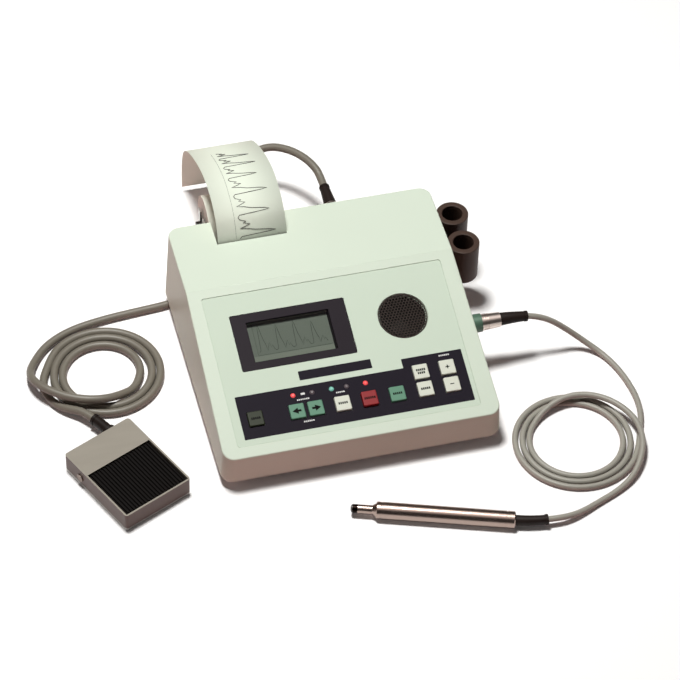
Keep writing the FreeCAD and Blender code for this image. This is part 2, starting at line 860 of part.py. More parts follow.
def speaker_parts():
    """The perforated grille in its pocket and the loudspeaker clamped behind it."""
    disc = rod(grille_radius, Vector(0, 0, 0), z_axis, grille_thickness)
    grille = disc.cut(grille_holes())
    seat = Placement(Vector(speaker_u, speaker_v, pocket_floor), Rotation())
    grille = placed(grille, panel_place.multiply(seat))
    cone_wall = speaker_frame_thickness
    outline = [(0, speaker_frame_radius), (0, speaker_basket_radius - cone_wall),
               (speaker_depth, magnet_radius / 2), (speaker_depth, 0),
               (speaker_depth + magnet_thickness, 0), (speaker_depth + magnet_thickness, magnet_radius),
               (speaker_depth, magnet_radius), (speaker_frame_thickness, speaker_basket_radius),
               (speaker_frame_thickness, speaker_frame_radius)]
    speaker = turned(outline, Vector(speaker_u, speaker_v, -case_wall), -z_axis)
    return grille, placed(speaker, panel_place)


def key_parts():
    """The ten key caps, each with its retaining flange and stem."""
    keys = {}
    for name in key_place_shares:
        u, v = key_place(name)
        rise = key_red_rise if name == "key_freeze" else key_rise
        across = key_width / 2
        half_height = key_height / 2
        cap = rounded_block((u - across, v - half_height, key_flange_top),
                            (u + across, v + half_height, rise), key_corner_radius)
        rim = [edge for edge in cap.Edges if edge.BoundBox.ZMin > rise - fit_gap]
        cap = cap.makeFillet(key_edge_radius, rim)
        flange_bottom = key_flange_top - key_flange_thickness
        flange = block((u - across - key_flange, v - half_height - key_flange, flange_bottom),
                       (u + across + key_flange, v + half_height + key_flange, key_flange_top))
        stem_half = key_stem_width / 2
        stem = block((u - stem_half, v - stem_half, key_stem_bottom),
                     (u + stem_half, v + stem_half, flange_bottom))
        keys[name] = placed(joined(cap, flange, stem), panel_place)
    return keys


def lamp_parts():
    """Five round lamps that stand on the key board and show through the panel."""
    top = overlay_top + lamp_rise
    outline = [(key_board_top, 0), (key_board_top, lamp_radius), (top - lamp_rise, lamp_radius),
               (top, lamp_radius / 2), (top, 0)]
    return [placed(turned(outline, Vector(u, v, 0), z_axis), panel_place) for u, v in lamp_places()]


def key_board():
    """The board under the keys with one small switch for each."""
    board = block((key_board_left, key_board_low, key_board_top - key_board_thickness),
                  (key_board_right, key_board_high, key_board_top))
    pieces = []
    for name in key_place_shares:
        u, v = key_place(name)
        half = switch_width / 2
        shoulder = key_board_top + switch_height / 2
        pieces.append(block((u - half, v - half, key_board_top), (u + half, v + half, shoulder)))
        pieces.append(rod(switch_button_radius, Vector(u, v, shoulder), z_axis, switch_height / 2))
    return placed(joined(board, *pieces), panel_place)


def main_board():
    """The signal board on its posts with its chips and a cable header."""
    board = block((main_board_left, main_board_front, board_bottom_z),
                  (main_board_right, main_board_rear, board_top_z))
    width = main_board_right - main_board_left
    middle_y = (main_board_front + main_board_rear) / 2
    half = chip_size / 2
    pieces = []
    for share in chip_place_shares:
        x = main_board_left + width * share
        pieces.append(block((x - half, middle_y - half, board_top_z), (x + half, middle_y + half,
                                                                       board_top_z + chip_height)))
    header_y = main_board_rear - 2 * header_width
    pieces.append(block((-header_length / 2, header_y, board_top_z),
                        (header_length / 2, header_y + header_width, board_top_z + header_height)))
    return joined(board, *pieces)


def power_supply():
    """The supply board with its transformer, capacitors and finned heat sink."""
    board = block((supply_left, supply_front, board_bottom_z), (supply_right, supply_rear, board_top_z))
    inset = board_post_inset
    transformer_rear = supply_rear - inset
    transformer = block((supply_left + inset, transformer_rear - transformer_length, board_top_z),
                        (supply_left + inset + transformer_width, transformer_rear,
                         board_top_z + transformer_height))
    pieces = [transformer]
    capacitor_x = supply_right - capacitor_radius - fit_gap
    for count in (1, 2):
        place = Vector(capacitor_x, supply_rear - inset * 2 * count, board_top_z)
        pieces.append(rod(capacitor_radius, place, z_axis, capacitor_height))
    sink_rear = supply_front + 2 * inset
    sink_left = supply_left + heat_sink_wall
    pieces.append(block((sink_left, sink_rear - heat_sink_wall, board_top_z),
                        (sink_left + heat_sink_length, sink_rear, board_top_z + heat_sink_height)))
    for fin in range(heat_sink_fins):
        x = sink_left + fin * heat_sink_pitch
        pieces.append(block((x, sink_rear - heat_sink_wall - heat_sink_pitch, board_top_z),
                            (x + heat_sink_wall, sink_rear, board_top_z + heat_sink_height)))
    return joined(board, *pieces)


def inlet_place():
    """The inlet module's frame on the rear wall: Y downwards, Z outwards, origin at the socket's middle."""
    return Placement(Vector(inlet_x, case_rear_y, inlet_z), Rotation(x_axis, -90))


def mains_inlet():
    """The inlet module: flange, socket with its three blades, and the well of the power switch."""
    body_half = inlet_body_width / 2
    top = -inlet_body_height / 2 - rocker_lift
    bottom = inlet_body_height / 2
    flange_half = inlet_flange_width / 2
    flange = rounded_block((-flange_half, top - inlet_flange_margin, 0),
                           (flange_half, bottom + inlet_flange_margin, inlet_flange_thickness),
                           inlet_flange_corner)
    module = joined(flange, block((-body_half, top, -inlet_depth), (body_half, bottom, 0)))
    cavity_floor = inlet_flange_thickness - inlet_cavity_depth
    wide = inlet_cavity_width / 2
    high = inlet_cavity_height / 2
    chamfer = inlet_cavity_chamfer
    corners = [(-wide, high), (wide, high), (wide, chamfer - high), (wide - chamfer, -high),
               (chamfer - wide, -high), (-wide, chamfer - high)]
    points = [Vector(x, y, cavity_floor) for x, y in corners]
    mouth = Part.Face(Part.makePolygon(points + points[:1]))
    cavity = mouth.extrude(z_axis * (inlet_cavity_depth + cut_overrun))
    well_half_width = rocker_well_width / 2
    well_half_height = rocker_well_height / 2
    well_floor = inlet_flange_thickness - rocker_well_depth
    well = block((-well_half_width, -rocker_lift - well_half_height, well_floor),
                 (well_half_width, well_half_height - rocker_lift, inlet_flange_thickness + cut_overrun))
    pin_half = well_half_width + rocker_pin_reach
    pivot = Vector(-pin_half, -rocker_lift, inlet_flange_thickness - rocker_pivot_depth)
    pivot_hole = rod(rocker_pin_radius + shaft_gap, pivot, x_axis, 2 * pin_half)
    module = module.cut([cavity, well, pivot_hole])
    blades = []
    for x, y in ((-inlet_pin_spread, inlet_pin_lift), (0, -inlet_pin_lift), (inlet_pin_spread, inlet_pin_lift)):
        blades.append(block((x - inlet_pin_width / 2, y - inlet_pin_height / 2, cavity_floor),
                            (x + inlet_pin_width / 2, y + inlet_pin_height / 2,
                             cavity_floor + inlet_pin_length)))
    return placed(joined(module, *blades), inlet_place())


def power_rocker():
    """The switch rocker on its pivot pins, tilted to its off side."""
    half = rocker_well_height / 2 - rocker_end_gap
    across = rocker_well_width / 2 - rocker_side_gap
    base = inlet_flange_thickness
    outline = [(-half, base + rocker_rise), (0, base + rocker_dip), (half, base + rocker_rise),
               (half, base - rocker_skirt), (0, base - rocker_keel), (-half, base - rocker_skirt)]
    body = side_plate(outline, -across, across)
    pivot = Vector(0, 0, base - rocker_pivot_depth)
    pin_half = rocker_well_width / 2 + rocker_pin_reach - shaft_gap
    pins = rod(rocker_pin_radius, pivot - x_axis * pin_half, x_axis, 2 * pin_half)
    rocker = joined(body, pins)
    rocker.rotate(pivot, x_axis, rocker_tilt)
    lift = Placement(Vector(0, -rocker_lift, 0), Rotation())
    return placed(rocker, inlet_place().multiply(lift))


def motor_centre():
    """The motor shaft's (y, z), one gear distance from the platen."""
    distance = gear_module * (platen_teeth + motor_teeth) / 2
    angle = math.radians(motor_angle)
    return platen_y + distance * math.cos(angle), platen_z + distance * math.sin(angle)


def printer_frame():
    """The folded sheet frame: base, two cheeks and the beam that carries the head."""
    base_top = case_bottom_z + frame_sheet
    base = block((frame_left, frame_front, case_bottom_z), (frame_right, frame_rear, base_top))
    motor_y, motor_z = motor_centre()
    outline = [(frame_front, case_bottom_z), (frame_rear, case_bottom_z), (frame_rear, frame_top),
               (frame_beam_front, frame_top), (frame_front, motor_z)]
    left_cheek = side_plate(outline, frame_left, frame_left + frame_sheet)
    right_cheek = side_plate(outline, frame_right - frame_sheet, frame_right)
    beam = block((frame_left, frame_beam_front, frame_beam_low),
                 (frame_right, frame_beam_front + frame_sheet, frame_beam_high))
    frame = joined(base, left_cheek, right_cheek, beam)
    length = frame_right - frame_left + 2 * cut_overrun
    start = Vector(frame_left - cut_overrun, platen_y, platen_z)
    platen_bearing = rod(platen_shaft_radius + shaft_gap, start, x_axis, length)
    hole_start = Vector(frame_right - frame_sheet - cut_overrun, motor_y, motor_z)
    motor_hole = rod(motor_shaft_radius + shaft_gap, hole_start, x_axis, frame_sheet + 2 * cut_overrun)
    return frame.cut([platen_bearing, motor_hole])


def thermal_head():
    """The head on its heat sink, close to the paper on the platen."""
    back = frame_beam_front + frame_sheet
    face = platen_y - platen_radius - 2 * fit_gap - paper_thickness
    middle = (back + face) / 2
    half_face = head_face_height / 2
    outline = [(back, frame_beam_low), (back, frame_beam_high), (middle, frame_beam_high),
               (face, platen_z + half_face), (face, platen_z - half_face), (middle, frame_beam_low)]
    return side_plate(outline, frame_left + frame_sheet + head_margin, frame_right - frame_sheet - head_margin)


def platen_roller():
    """The rubber platen on its shaft, through both cheeks to the gear."""
    left = frame_left - platen_shaft_reach
    right = frame_right + gear_side_gap + gear_width + platen_shaft_reach
    roller_left = frame_left + frame_sheet + platen_margin
    roller_right = frame_right - frame_sheet - platen_margin
    outline = [(left, 0), (left, platen_shaft_radius), (roller_left, platen_shaft_radius),
               (roller_left, platen_radius), (roller_right, platen_radius),
               (roller_right, platen_shaft_radius), (right, platen_shaft_radius), (right, 0)]
    return turned(outline, Vector(0, platen_y, platen_z))


def spur_gear(teeth, phase):
    """A spur gear about X with involute flanks, its first tooth at the phase angle in the (y, z) plane."""
    pitch_radius = gear_module * teeth / 2
    base_radius = pitch_radius * math.cos(math.radians(pressure_angle))
    tip_radius = pitch_radius + gear_module
    root_radius = pitch_radius - gear_module * tooth_root_share

    def half_angle(radius):
        """Half the tooth's angle at a radius."""
        def involute(angle):
            return math.tan(angle) - angle
        pressure = math.acos(min(base_radius / radius, 1))
        half_pitch = math.pi / (2 * teeth) - gear_backlash / (2 * pitch_radius)
        return half_pitch + involute(math.radians(pressure_angle)) - involute(pressure)

    flank = [root_radius, pitch_radius, tip_radius]
    points = []
    for tooth in range(teeth):
        centre = math.radians(phase) + 2 * math.pi * tooth / teeth
        rising = [(radius, centre - half_angle(radius)) for radius in flank]
        falling = [(radius, centre + half_angle(radius)) for radius in reversed(flank)]
        points += [Vector(0, radius * math.cos(angle), radius * math.sin(angle))
                   for radius, angle in rising + falling]
    return Part.Face(Part.makePolygon(points + points[:1])).extrude(Vector(gear_width, 0, 0))


def gear_parts():
    """The platen's gear and the motor's pinion on its shaft, in mesh outside the right cheek."""
    left = frame_right + gear_side_gap
    platen_gear = spur_gear(platen_teeth, motor_angle)
    platen_gear = platen_gear.cut(rod(platen_shaft_radius, Vector(0, 0, 0), x_axis, gear_width))
    platen_gear.translate(Vector(left, platen_y, platen_z))
    motor_y, motor_z = motor_centre()
    pinion = spur_gear(motor_teeth, motor_angle + 180 + 180 / motor_teeth)
    pinion.translate(Vector(left, motor_y, motor_z))
    shaft_left = frame_right - frame_sheet - motor_length / 2
    shaft_length = left + gear_width - shaft_left
    shaft = rod(motor_shaft_radius, Vector(shaft_left, motor_y, motor_z), x_axis, shaft_length)
    return platen_gear, joined(pinion, shaft)


def stepper_motor():
    """The can-shaped motor on the right cheek's inner face."""
    motor_y, motor_z = motor_centre()
    right = frame_right - frame_sheet
    can = rod(motor_radius, Vector(right - motor_length, motor_y, motor_z), x_axis, motor_length)
    bore = rod(motor_shaft_radius + shaft_gap, Vector(right - motor_length / 2 - shaft_gap, motor_y, motor_z),
               x_axis, motor_length)
    return can.cut(bore)


def roll_parts():
    """The bracket on the rear wall, the spindle in its slots and the paper roll on the spindle."""
    inner_left = paper_left - roll_side_gap
    inner_right = paper_right + roll_side_gap
    back = block((inner_left - bracket_sheet, case_rear_y, bracket_low),
                 (inner_right + bracket_sheet, case_rear_y + bracket_sheet, bracket_high))
    outline = [(case_rear_y, bracket_low), (case_rear_y, bracket_high),
               (roll_y - bracket_arm_end, roll_z + bracket_arm_top),
               (roll_y + bracket_arm_end, roll_z + bracket_arm_top),
               (roll_y + bracket_arm_end, roll_z - bracket_arm_end), (case_rear_y + bracket_arm_end, bracket_low)]
    arms = [side_plate(outline, inner_left - bracket_sheet, inner_left),
            side_plate(outline, inner_right, inner_right + bracket_sheet)]
    slot_radius = spindle_end_radius + shaft_gap
    across = inner_right - inner_left + 2 * bracket_sheet + 2 * cut_overrun
    left = inner_left - bracket_sheet - cut_overrun
    slot = rod(slot_radius, Vector(left, roll_y, roll_z), x_axis, across)
    mouth = block((left, roll_y - slot_radius, roll_z),
                  (left + across, roll_y + slot_radius, roll_z + bracket_arm_top + cut_overrun))
    bracket = joined(back, *arms).cut([slot, mouth])
    ends = (inner_left - bracket_sheet - spindle_overhang, inner_right + bracket_sheet + spindle_overhang)
    outline = [(ends[0], 0), (ends[0], spindle_end_radius), (inner_left + shaft_gap, spindle_end_radius),
               (inner_left + shaft_gap, spindle_radius), (inner_right - shaft_gap, spindle_radius),
               (inner_right - shaft_gap, spindle_end_radius), (ends[1], spindle_end_radius), (ends[1], 0)]
    spindle = turned(outline, Vector(0, roll_y, roll_z))
    bore = spindle_radius + shaft_gap
    outline = [(paper_left, bore), (paper_left, roll_radius), (paper_right, roll_radius), (paper_right, bore)]
    return bracket, spindle, turned(outline, Vector(0, roll_y, roll_z))


def paper_strip():
    """The paper from the roll, under and up past the platen, out of the slot, over and down behind."""
    roll_reach = roll_radius + fit_gap + paper_thickness / 2
    platen_reach = platen_radius + fit_gap + paper_thickness / 2
    run_y = platen_y - roll_y
    run_z = platen_z - roll_z
    lean = math.atan2(run_z, run_y) + math.acos((roll_reach - platen_reach) / math.hypot(run_y, run_z))
    normal = (math.cos(lean), math.sin(lean))
    start_y = roll_y + roll_reach * normal[0]
    start_z = roll_z + roll_reach * normal[1]
    rise_y = platen_y - platen_reach
    corner_z = start_z - (rise_y - start_y) * normal[0] / normal[1]
    profile = [(start_y, start_z), (rise_y, corner_z), (rise_y, strip_crest_front_z),
               (case_rear_y + strip_crest_rear_reach, strip_crest_rear_z),
               (case_rear_y + strip_knee_reach, strip_knee_z),
               (case_rear_y + strip_hang_reach, strip_hang_z), (case_rear_y + strip_end_reach, strip_end_z)]
    points = [Vector(paper_left, y, z) for y, z in profile]
    path, radii = rounded_path(points, radii=[None, platen_reach] + [None] * (len(points) - 2))
    print("paper strip length", round(path.Length, 1), "radii", [round(value, 1) for value in radii])
    half = Vector(0, normal[0], normal[1]) * (paper_thickness / 2)
    width = Vector(paper_width, 0, 0)
    corners = [points[0] - half, points[0] + half, points[0] + half + width, points[0] - half + width]
    return swept(path, Part.makePolygon(corners + corners[:1]))


def probe_holders():
    """Two upright tubes on a plate that lies flush on the flared right wall."""
    bottom_z = holder_top_z - holder_height
    outline = [(0, 0), (0, holder_radius), (holder_height - holder_bevel_drop, holder_radius),
               (holder_height - holder_bevel_drop * holder_round_share,
                holder_radius - holder_bevel_width * holder_round_share),
               (holder_height, holder_radius - holder_bevel_width), (holder_height, 0)]
    places = [Vector(holder_x, y, bottom_z) for y in (holder_rear_y, holder_front_y)]
    tubes = [turned(outline, place, z_axis) for place in places]
    wall_x = console_width / 2
    half_plate = holder_plate_width / 2
    plate = block((wall_x, holder_front_y - half_plate, bottom_z),
                  (wall_x + holder_plate_thickness, holder_rear_y + half_plate,
                   holder_top_z - holder_bevel_width))
    bore_low = Vector(0, 0, holder_height - holder_bore_depth)
    bores = [rod(holder_bore_radius, place + bore_low, z_axis, holder_bore_depth + cut_overrun)
             for place in places]
    return joined(plate, *tubes).cut([outer_wedge()] + bores)


def side_wall_x(z):
    """The flared side wall's outer face at a height."""
    return console_width / 2 + side_flare * (case_top_z - z) / (case_top_z - case_bottom_z)


def socket_and_plug(wall, place, droop):
    """A panel socket, the plug in it and the plug's boot, all about X from the wall's face."""
    inner = wall - socket_thread_length
    nut_left = wall - case_wall - 2 * socket_nut_thickness
    collar_end = wall + collar_length
    outline = [(inner, 0), (inner, socket_thread_radius), (nut_left, socket_thread_radius),
               (nut_left, socket_nut_radius), (nut_left + socket_nut_thickness, socket_nut_radius),
               (nut_left + socket_nut_thickness, socket_thread_radius), (wall, socket_thread_radius),
               (wall, collar_radius), (collar_end, collar_radius), (collar_end, 0)]
    socket = turned(outline)
    taper = (plug_rear_radius - plug_front_radius) / plug_length
    outline = [(0, 0), (0, plug_front_radius)]
    for groove in range(plug_grooves):
        near = plug_groove_width * (2 * groove + 2)
        far = near + plug_groove_width
        near_radius = plug_front_radius + taper * near
        far_radius = plug_front_radius + taper * far
        outline += [(near, near_radius), (near, near_radius - plug_groove_depth),
                    (far, far_radius - plug_groove_depth), (far, far_radius)]
    outline += [(plug_length, plug_rear_radius), (plug_length, 0)]
    plug = turned(outline, Vector(collar_end, 0, 0))
    boot, end, heading = bent_boot(boot_length, boot_root_radius, boot_tip_radius, boot_ring_radius,
                                   boot_ring_length, droop)
    boot_start = Vector(collar_end + plug_length, 0, 0)
    boot.translate(boot_start)
    end_point = place.multVec(end + boot_start)
    end_heading = place.Rotation.multVec(heading)
    return [placed(shape, place) for shape in (socket, plug, boot)] + [end_point, end_heading]


def probe_parts():
    """The pencil probe: barrel, nose, lens, the two half-round crystals behind it, and the bent boot."""
    front = side_socket_foot + Vector(probe_barrel_front_x, probe_barrel_front_y, barrel_radius)
    place = Placement(front, Rotation(z_axis, probe_angle))
    outline = [(0, barrel_bore_radius), (0, barrel_radius - barrel_chamfer), (barrel_chamfer, barrel_radius)]
    for near in (barrel_groove_front, barrel_length - barrel_groove_rear):
        far = near + barrel_groove_width
        waist = barrel_radius - barrel_groove_depth
        outline += [(near, barrel_radius), (near, waist), (far, waist), (far, barrel_radius)]
    outline += [(barrel_length - barrel_chamfer, barrel_radius), (barrel_length, barrel_radius - barrel_chamfer),
                (barrel_length, barrel_bore_radius)]
    barrel = turned(outline)
    nose_end = -nose_shoulder_length - nose_length
    bore = barrel_bore_radius
    outline = [(nose_end, bore), (nose_end, nose_radius), (-nose_shoulder_length, nose_radius),
               (0, nose_shoulder_radius), (0, bore)]
    nose = turned(outline)
    lens_front = nose_end - lens_length / 2
    lens_back = nose_end + lens_length / 2
    outline = [(lens_front, 0), (lens_front, lens_radius / 2), (lens_front + lens_length / 4, lens_radius),
               (nose_end, lens_radius), (nose_end, bore - shaft_gap), (lens_back, bore - shaft_gap), (lens_back, 0)]
    lens = turned(outline)
    disc = rod(crystal_width / 2, Vector(lens_back, 0, 0), x_axis, crystal_thickness)
    half_gap = crystal_gap / 2
    slit = block((lens_back, -half_gap, -crystal_width),
                 (lens_back + crystal_thickness, half_gap, crystal_width))
    crystals = disc.cut(slit).Solids
    boot, end, heading = bent_boot(probe_boot_length, probe_boot_root_radius, probe_boot_tip_radius,
                                   probe_boot_ring_radius, probe_boot_ring_length, probe_boot_bend)
    boot_start = Vector(barrel_length, 0, 0)
    boot.translate(boot_start)
    save("probe_barrel", placed(barrel, place))
    save("probe_nose", placed(nose, place))
    save("probe_lens", placed(lens, place))
    save("probe_crystals", *[placed(half, place) for half in crystals])
    save("probe_boot", placed(boot, place))
    return place.multVec(end + boot_start), place.Rotation.multVec(heading)


def pedal_box(half_across, half_length, band_edge, pivot_y):
    """The folded steel box: walls all round and a top band at the rear, open over the treadle."""
    low = pedal_base_thickness
    box = rounded_block((-half_across, -half_length, low), (half_across, half_length, pedal_height),
                        pedal_bend_radius)
    inner_width = half_across - pedal_sheet
    inner_length = half_length - pedal_sheet
    under_band = pedal_height - pedal_sheet
    cuts = [block((-inner_width, -inner_length, low - cut_overrun), (inner_width, inner_length, under_band)),
            block((-inner_width, -inner_length, low), (inner_width, band_edge, pedal_height + cut_overrun)),
            rod(pivot_radius + shaft_gap, Vector(-half_across - cut_overrun, pivot_y, pivot_z), x_axis,
                pedal_width + 2 * cut_overrun),
            rod(gland_tip_radius + shaft_gap, Vector(gland_x, inner_length - cut_overrun, gland_z), y_axis,
                2 * cut_overrun)]
    return box.cut(cuts)


def pedal_pad(half_across, front, rear, bottom):
    """The ribbed rubber pad as one ribbed outline drawn front to back."""
    top = bottom + pad_thickness
    valley = top - pad_rib_height
    pitch = 2 * half_across / pad_ribs
    outline = [(-half_across, bottom), (-half_across, valley)]
    for rib in range(pad_ribs):
        middle = -half_across + pitch * rib + pitch / 2
        foot = pitch * pad_rib_width_share / 2
        crown = foot * pad_rib_width_share
        outline += [(middle - foot, valley), (middle - crown, top),
                    (middle + crown, top), (middle + foot, valley)]
    outline += [(half_across, valley), (half_across, bottom)]
    points = [Vector(x, front, z) for x, z in outline]
    return Part.Face(Part.makePolygon(points + points[:1])).extrude(Vector(0, rear - front, 0))


def pedal_parts():
    """The foot switch with its treadle, pad, pivot, return spring, switch and gland."""
    place = Placement(rear_corner_foot + Vector(pedal_x, pedal_y, 0), Rotation(z_axis, pedal_angle))
    half_across = pedal_width / 2
    half_length = pedal_length / 2
    band_edge = half_length - pedal_band
    pivot_y = band_edge + pivot_setback
    save("footswitch_box", placed(pedal_box(half_across, half_length, band_edge, pivot_y), place))
    base = rounded_block((-half_across, -half_length, 0), (half_across, half_length, pedal_base_thickness),
                         pedal_bend_radius)
    save("footswitch_base", placed(base, place))
    plate_half = half_across - pedal_sheet - treadle_gap
    plate_front = -half_length + pedal_sheet + treadle_gap
    plate_rear = pivot_y + treadle_overhang
    plate_top = pedal_height - treadle_drop - pad_thickness
    plate_bottom = plate_top - treadle_sheet
    plate = block((-plate_half, plate_front, plate_bottom), (plate_half, plate_rear, plate_top))
    cheeks = [block((side, pivot_y - treadle_cheek, pivot_z - treadle_cheek_drop),
                    (side + treadle_sheet, plate_rear, plate_bottom))
              for side in (-plate_half, plate_half - treadle_sheet)]
    pin_start = Vector(-half_across, pivot_y, pivot_z)
    treadle = joined(plate, *cheeks).cut(rod(pivot_radius + shaft_gap, pin_start, x_axis, pedal_width))
    save("footswitch_treadle", placed(treadle, place))
    pad = pedal_pad(plate_half - pad_margin, plate_front + pad_margin, band_edge - treadle_gap, plate_top)
    save("treadle_pad", placed(pad, place))
    reach = half_across + pivot_head_height
    outline = [(-reach, 0), (-reach, pivot_head_radius), (-half_across, pivot_head_radius),
               (-half_across, pivot_radius), (half_across, pivot_radius), (half_across, pivot_head_radius),
               (reach, pivot_head_radius), (reach, 0)]
    save("treadle_pivot", placed(turned(outline, Vector(0, pivot_y, pivot_z)), place))
    switch_top = pedal_base_thickness + microswitch_height
    switch = block((-microswitch_length / 2, microswitch_front, pedal_base_thickness),
                   (microswitch_length / 2, microswitch_front + microswitch_width, switch_top))
    button = rod(microswitch_button, Vector(0, microswitch_front + microswitch_width / 2, switch_top), z_axis,
                 microswitch_button)
    save("footswitch_microswitch", placed(joined(switch, button), place))
    spring_height = plate_bottom - pedal_base_thickness
    outline = [(0, spring_radius - spring_wire), (0, spring_radius), (spring_height, spring_radius),
               (spring_height, spring_radius - spring_wire)]
    spring = turned(outline, Vector(0, spring_y, pedal_base_thickness), z_axis)
    save("treadle_spring", placed(spring, place))
    boot, end, heading = bent_boot(gland_length - gland_nut_length, gland_root_radius, gland_tip_radius,
                                   gland_root_radius, gland_nut_length / 2, gland_bend)
    nut = rod(gland_nut_radius, Vector(-gland_nut_length, 0, 0), x_axis, gland_nut_length)
    neck = rod(gland_tip_radius, Vector(-gland_nut_length - 2 * pedal_sheet, 0, 0), x_axis, 2 * pedal_sheet)
    gland_place = Placement(Vector(gland_x, half_length + gland_nut_length, gland_z), Rotation(z_axis, 90))
    gland_place = place.multiply(gland_place)
    save("footswitch_gland", placed(joined(neck, nut, boot), gland_place))
    return gland_place.multVec(end), gland_place.Rotation.multVec(heading)


def route(origin, start, start_heading, first_run, points, last_run, end, end_heading):
    """A cord's points from one end to the other, leaving and arriving along the given headings."""
    inner = [origin + Vector(*point) for point in points]
    return [start, start + start_heading * first_run] + inner + [end - end_heading * last_run, end]


def probe_cord(plug_end, plug_heading, boot_end, boot_heading):
    """The probe's cord: from the plug down to the table, round its coil and over to the probe."""
    centre = side_socket_foot + Vector(probe_coil_x, probe_coil_y, probe_cord_radius)
    step = probe_coil_pitch / 2
    distances = [probe_coil_outer - step * count for count in range(probe_coil_half_turns + 1)]
    distances[-1] -= probe_coil_tuck
    coil, first, first_heading, last, last_heading = flat_coil(centre, distances, probe_coil_angle, -1,
                                                               probe_cord_radius)
    lead = route(side_socket_foot, plug_end, plug_heading, probe_lead_first_run, probe_lead_points,
                 probe_lead_last_run, first, first_heading)
    tail = route(side_socket_foot, last, last_heading, probe_tail_first_run, probe_tail_points,
                 probe_tail_last_run, boot_end, boot_heading * -1)
    save("probe_cord_coil", coil)
    save("probe_cord_lead", cord_tube(lead, probe_cord_radius, "probe_cord_lead"))
    save("probe_cord_tail", cord_tube(tail, probe_cord_radius, "probe_cord_tail"))


def pedal_cord(plug_end, plug_heading, gland_end, gland_heading):
    """The foot switch's cord: from the rear plug under the case, round its coil and into the gland."""
    centre = rear_corner_foot + Vector(pedal_coil_x, pedal_coil_y, pedal_cord_radius)
    step = pedal_coil_pitch / 2
    grown = [pedal_coil_inner + pedal_coil_tuck + step * (count + 1) for count in range(pedal_coil_half_turns)]
    distances = [pedal_coil_inner] + grown
    coil, first, first_heading, last, last_heading = flat_coil(centre, distances, pedal_coil_angle, 1,
                                                               pedal_cord_radius)
    lead = route(rear_corner_foot, plug_end, plug_heading, pedal_lead_first_run, pedal_lead_points,
                 pedal_lead_last_run, first, first_heading)
    tail = route(rear_corner_foot, last, last_heading, pedal_tail_first_run, pedal_tail_points,
                 pedal_tail_last_run, gland_end, gland_heading * -1)
    save("footswitch_cord_coil", coil)
    save("footswitch_cord_lead", cord_tube(lead, pedal_cord_radius, "footswitch_cord_lead"))
    save("footswitch_cord_tail", cord_tube(tail, pedal_cord_radius, "footswitch_cord_tail"))


os.makedirs("parts", exist_ok=True)

# Console
save("upper_case", upper_case())
save("lower_case", lower_case())
save("case_screws", *case_screws())
save("rubber_feet", *rubber_feet())
save("front_overlay", front_overlay())
lcd_window, lcd_module = display_parts()
save("lcd_window", lcd_window)
save("lcd_module", lcd_module)
speaker_grille, loudspeaker = speaker_parts()
save("speaker_grille", speaker_grille)
save("loudspeaker", loudspeaker)
for key_name, key_shape in key_parts().items():
    save(key_name, key_shape)
save("indicator_lamps", *lamp_parts())
save("key_board", key_board())
save("main_board", main_board())
save("power_supply", power_supply())
save("mains_inlet", mains_inlet())
save("power_rocker", power_rocker())

# Printer and paper
save("printer_frame", printer_frame())
save("thermal_head", thermal_head())
save("platen_roller", platen_roller())
platen_gear, motor_gear = gear_parts()
save("platen_gear", platen_gear)
save("motor_gear", motor_gear)
save("stepper_motor", stepper_motor())
roll_bracket, roll_spindle, paper_roll = roll_parts()
save("roll_bracket", roll_bracket)
save("roll_spindle", roll_spindle)
save("paper_roll", paper_roll)
save("paper_strip", paper_strip())

# Probe side: holders, socket, plug, probe and its cord
save("probe_holders", probe_holders())
side_place = Placement(Vector(0, side_socket_y, side_socket_z), Rotation(x_axis, -90))
side_socket, probe_plug, probe_plug_boot, side_end, side_heading = socket_and_plug(
    side_wall_x(side_socket_z), side_place, side_boot_droop)
side_socket = side_socket.cut(outer_wedge().cut(rod(socket_thread_radius + shaft_gap, Vector(
    0, side_socket_y, side_socket_z), x_axis, console_width)))
save("probe_plug", probe_plug)
save("probe_plug_boot", probe_plug_boot)
probe_end, probe_heading = probe_parts()
probe_cord(side_end, side_heading, probe_end, probe_heading)

# Foot switch side: socket, plug, foot switch and its cord
rear_place = Placement(Vector(rear_socket_x, 0, rear_socket_z), Rotation(z_axis, 90))
rear_socket, footswitch_plug, footswitch_plug_boot, rear_end, rear_heading = socket_and_plug(
    case_rear_y, rear_place, 0)
save("panel_sockets", side_socket, rear_socket)
save("footswitch_plug", footswitch_plug)
save("footswitch_plug_boot", footswitch_plug_boot)
gland_end, gland_heading = pedal_parts()
pedal_cord(rear_end, rear_heading, gland_end, gland_heading)
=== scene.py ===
# %% [markdown]
# # A bidirectional doppler on a studio table
# The set has a wedge-shaped desk console with a strip printer, a pencil probe and a foot switch, and two
# cords tie them together. The solids come in as a fixed frame. This lesson gives them their finishes and
# adds what solids leave out: the cords' smooth lines, the printed panel, the curled paper and the traces.

import math

import bmesh
import bpy
from mathutils import Matrix, Vector


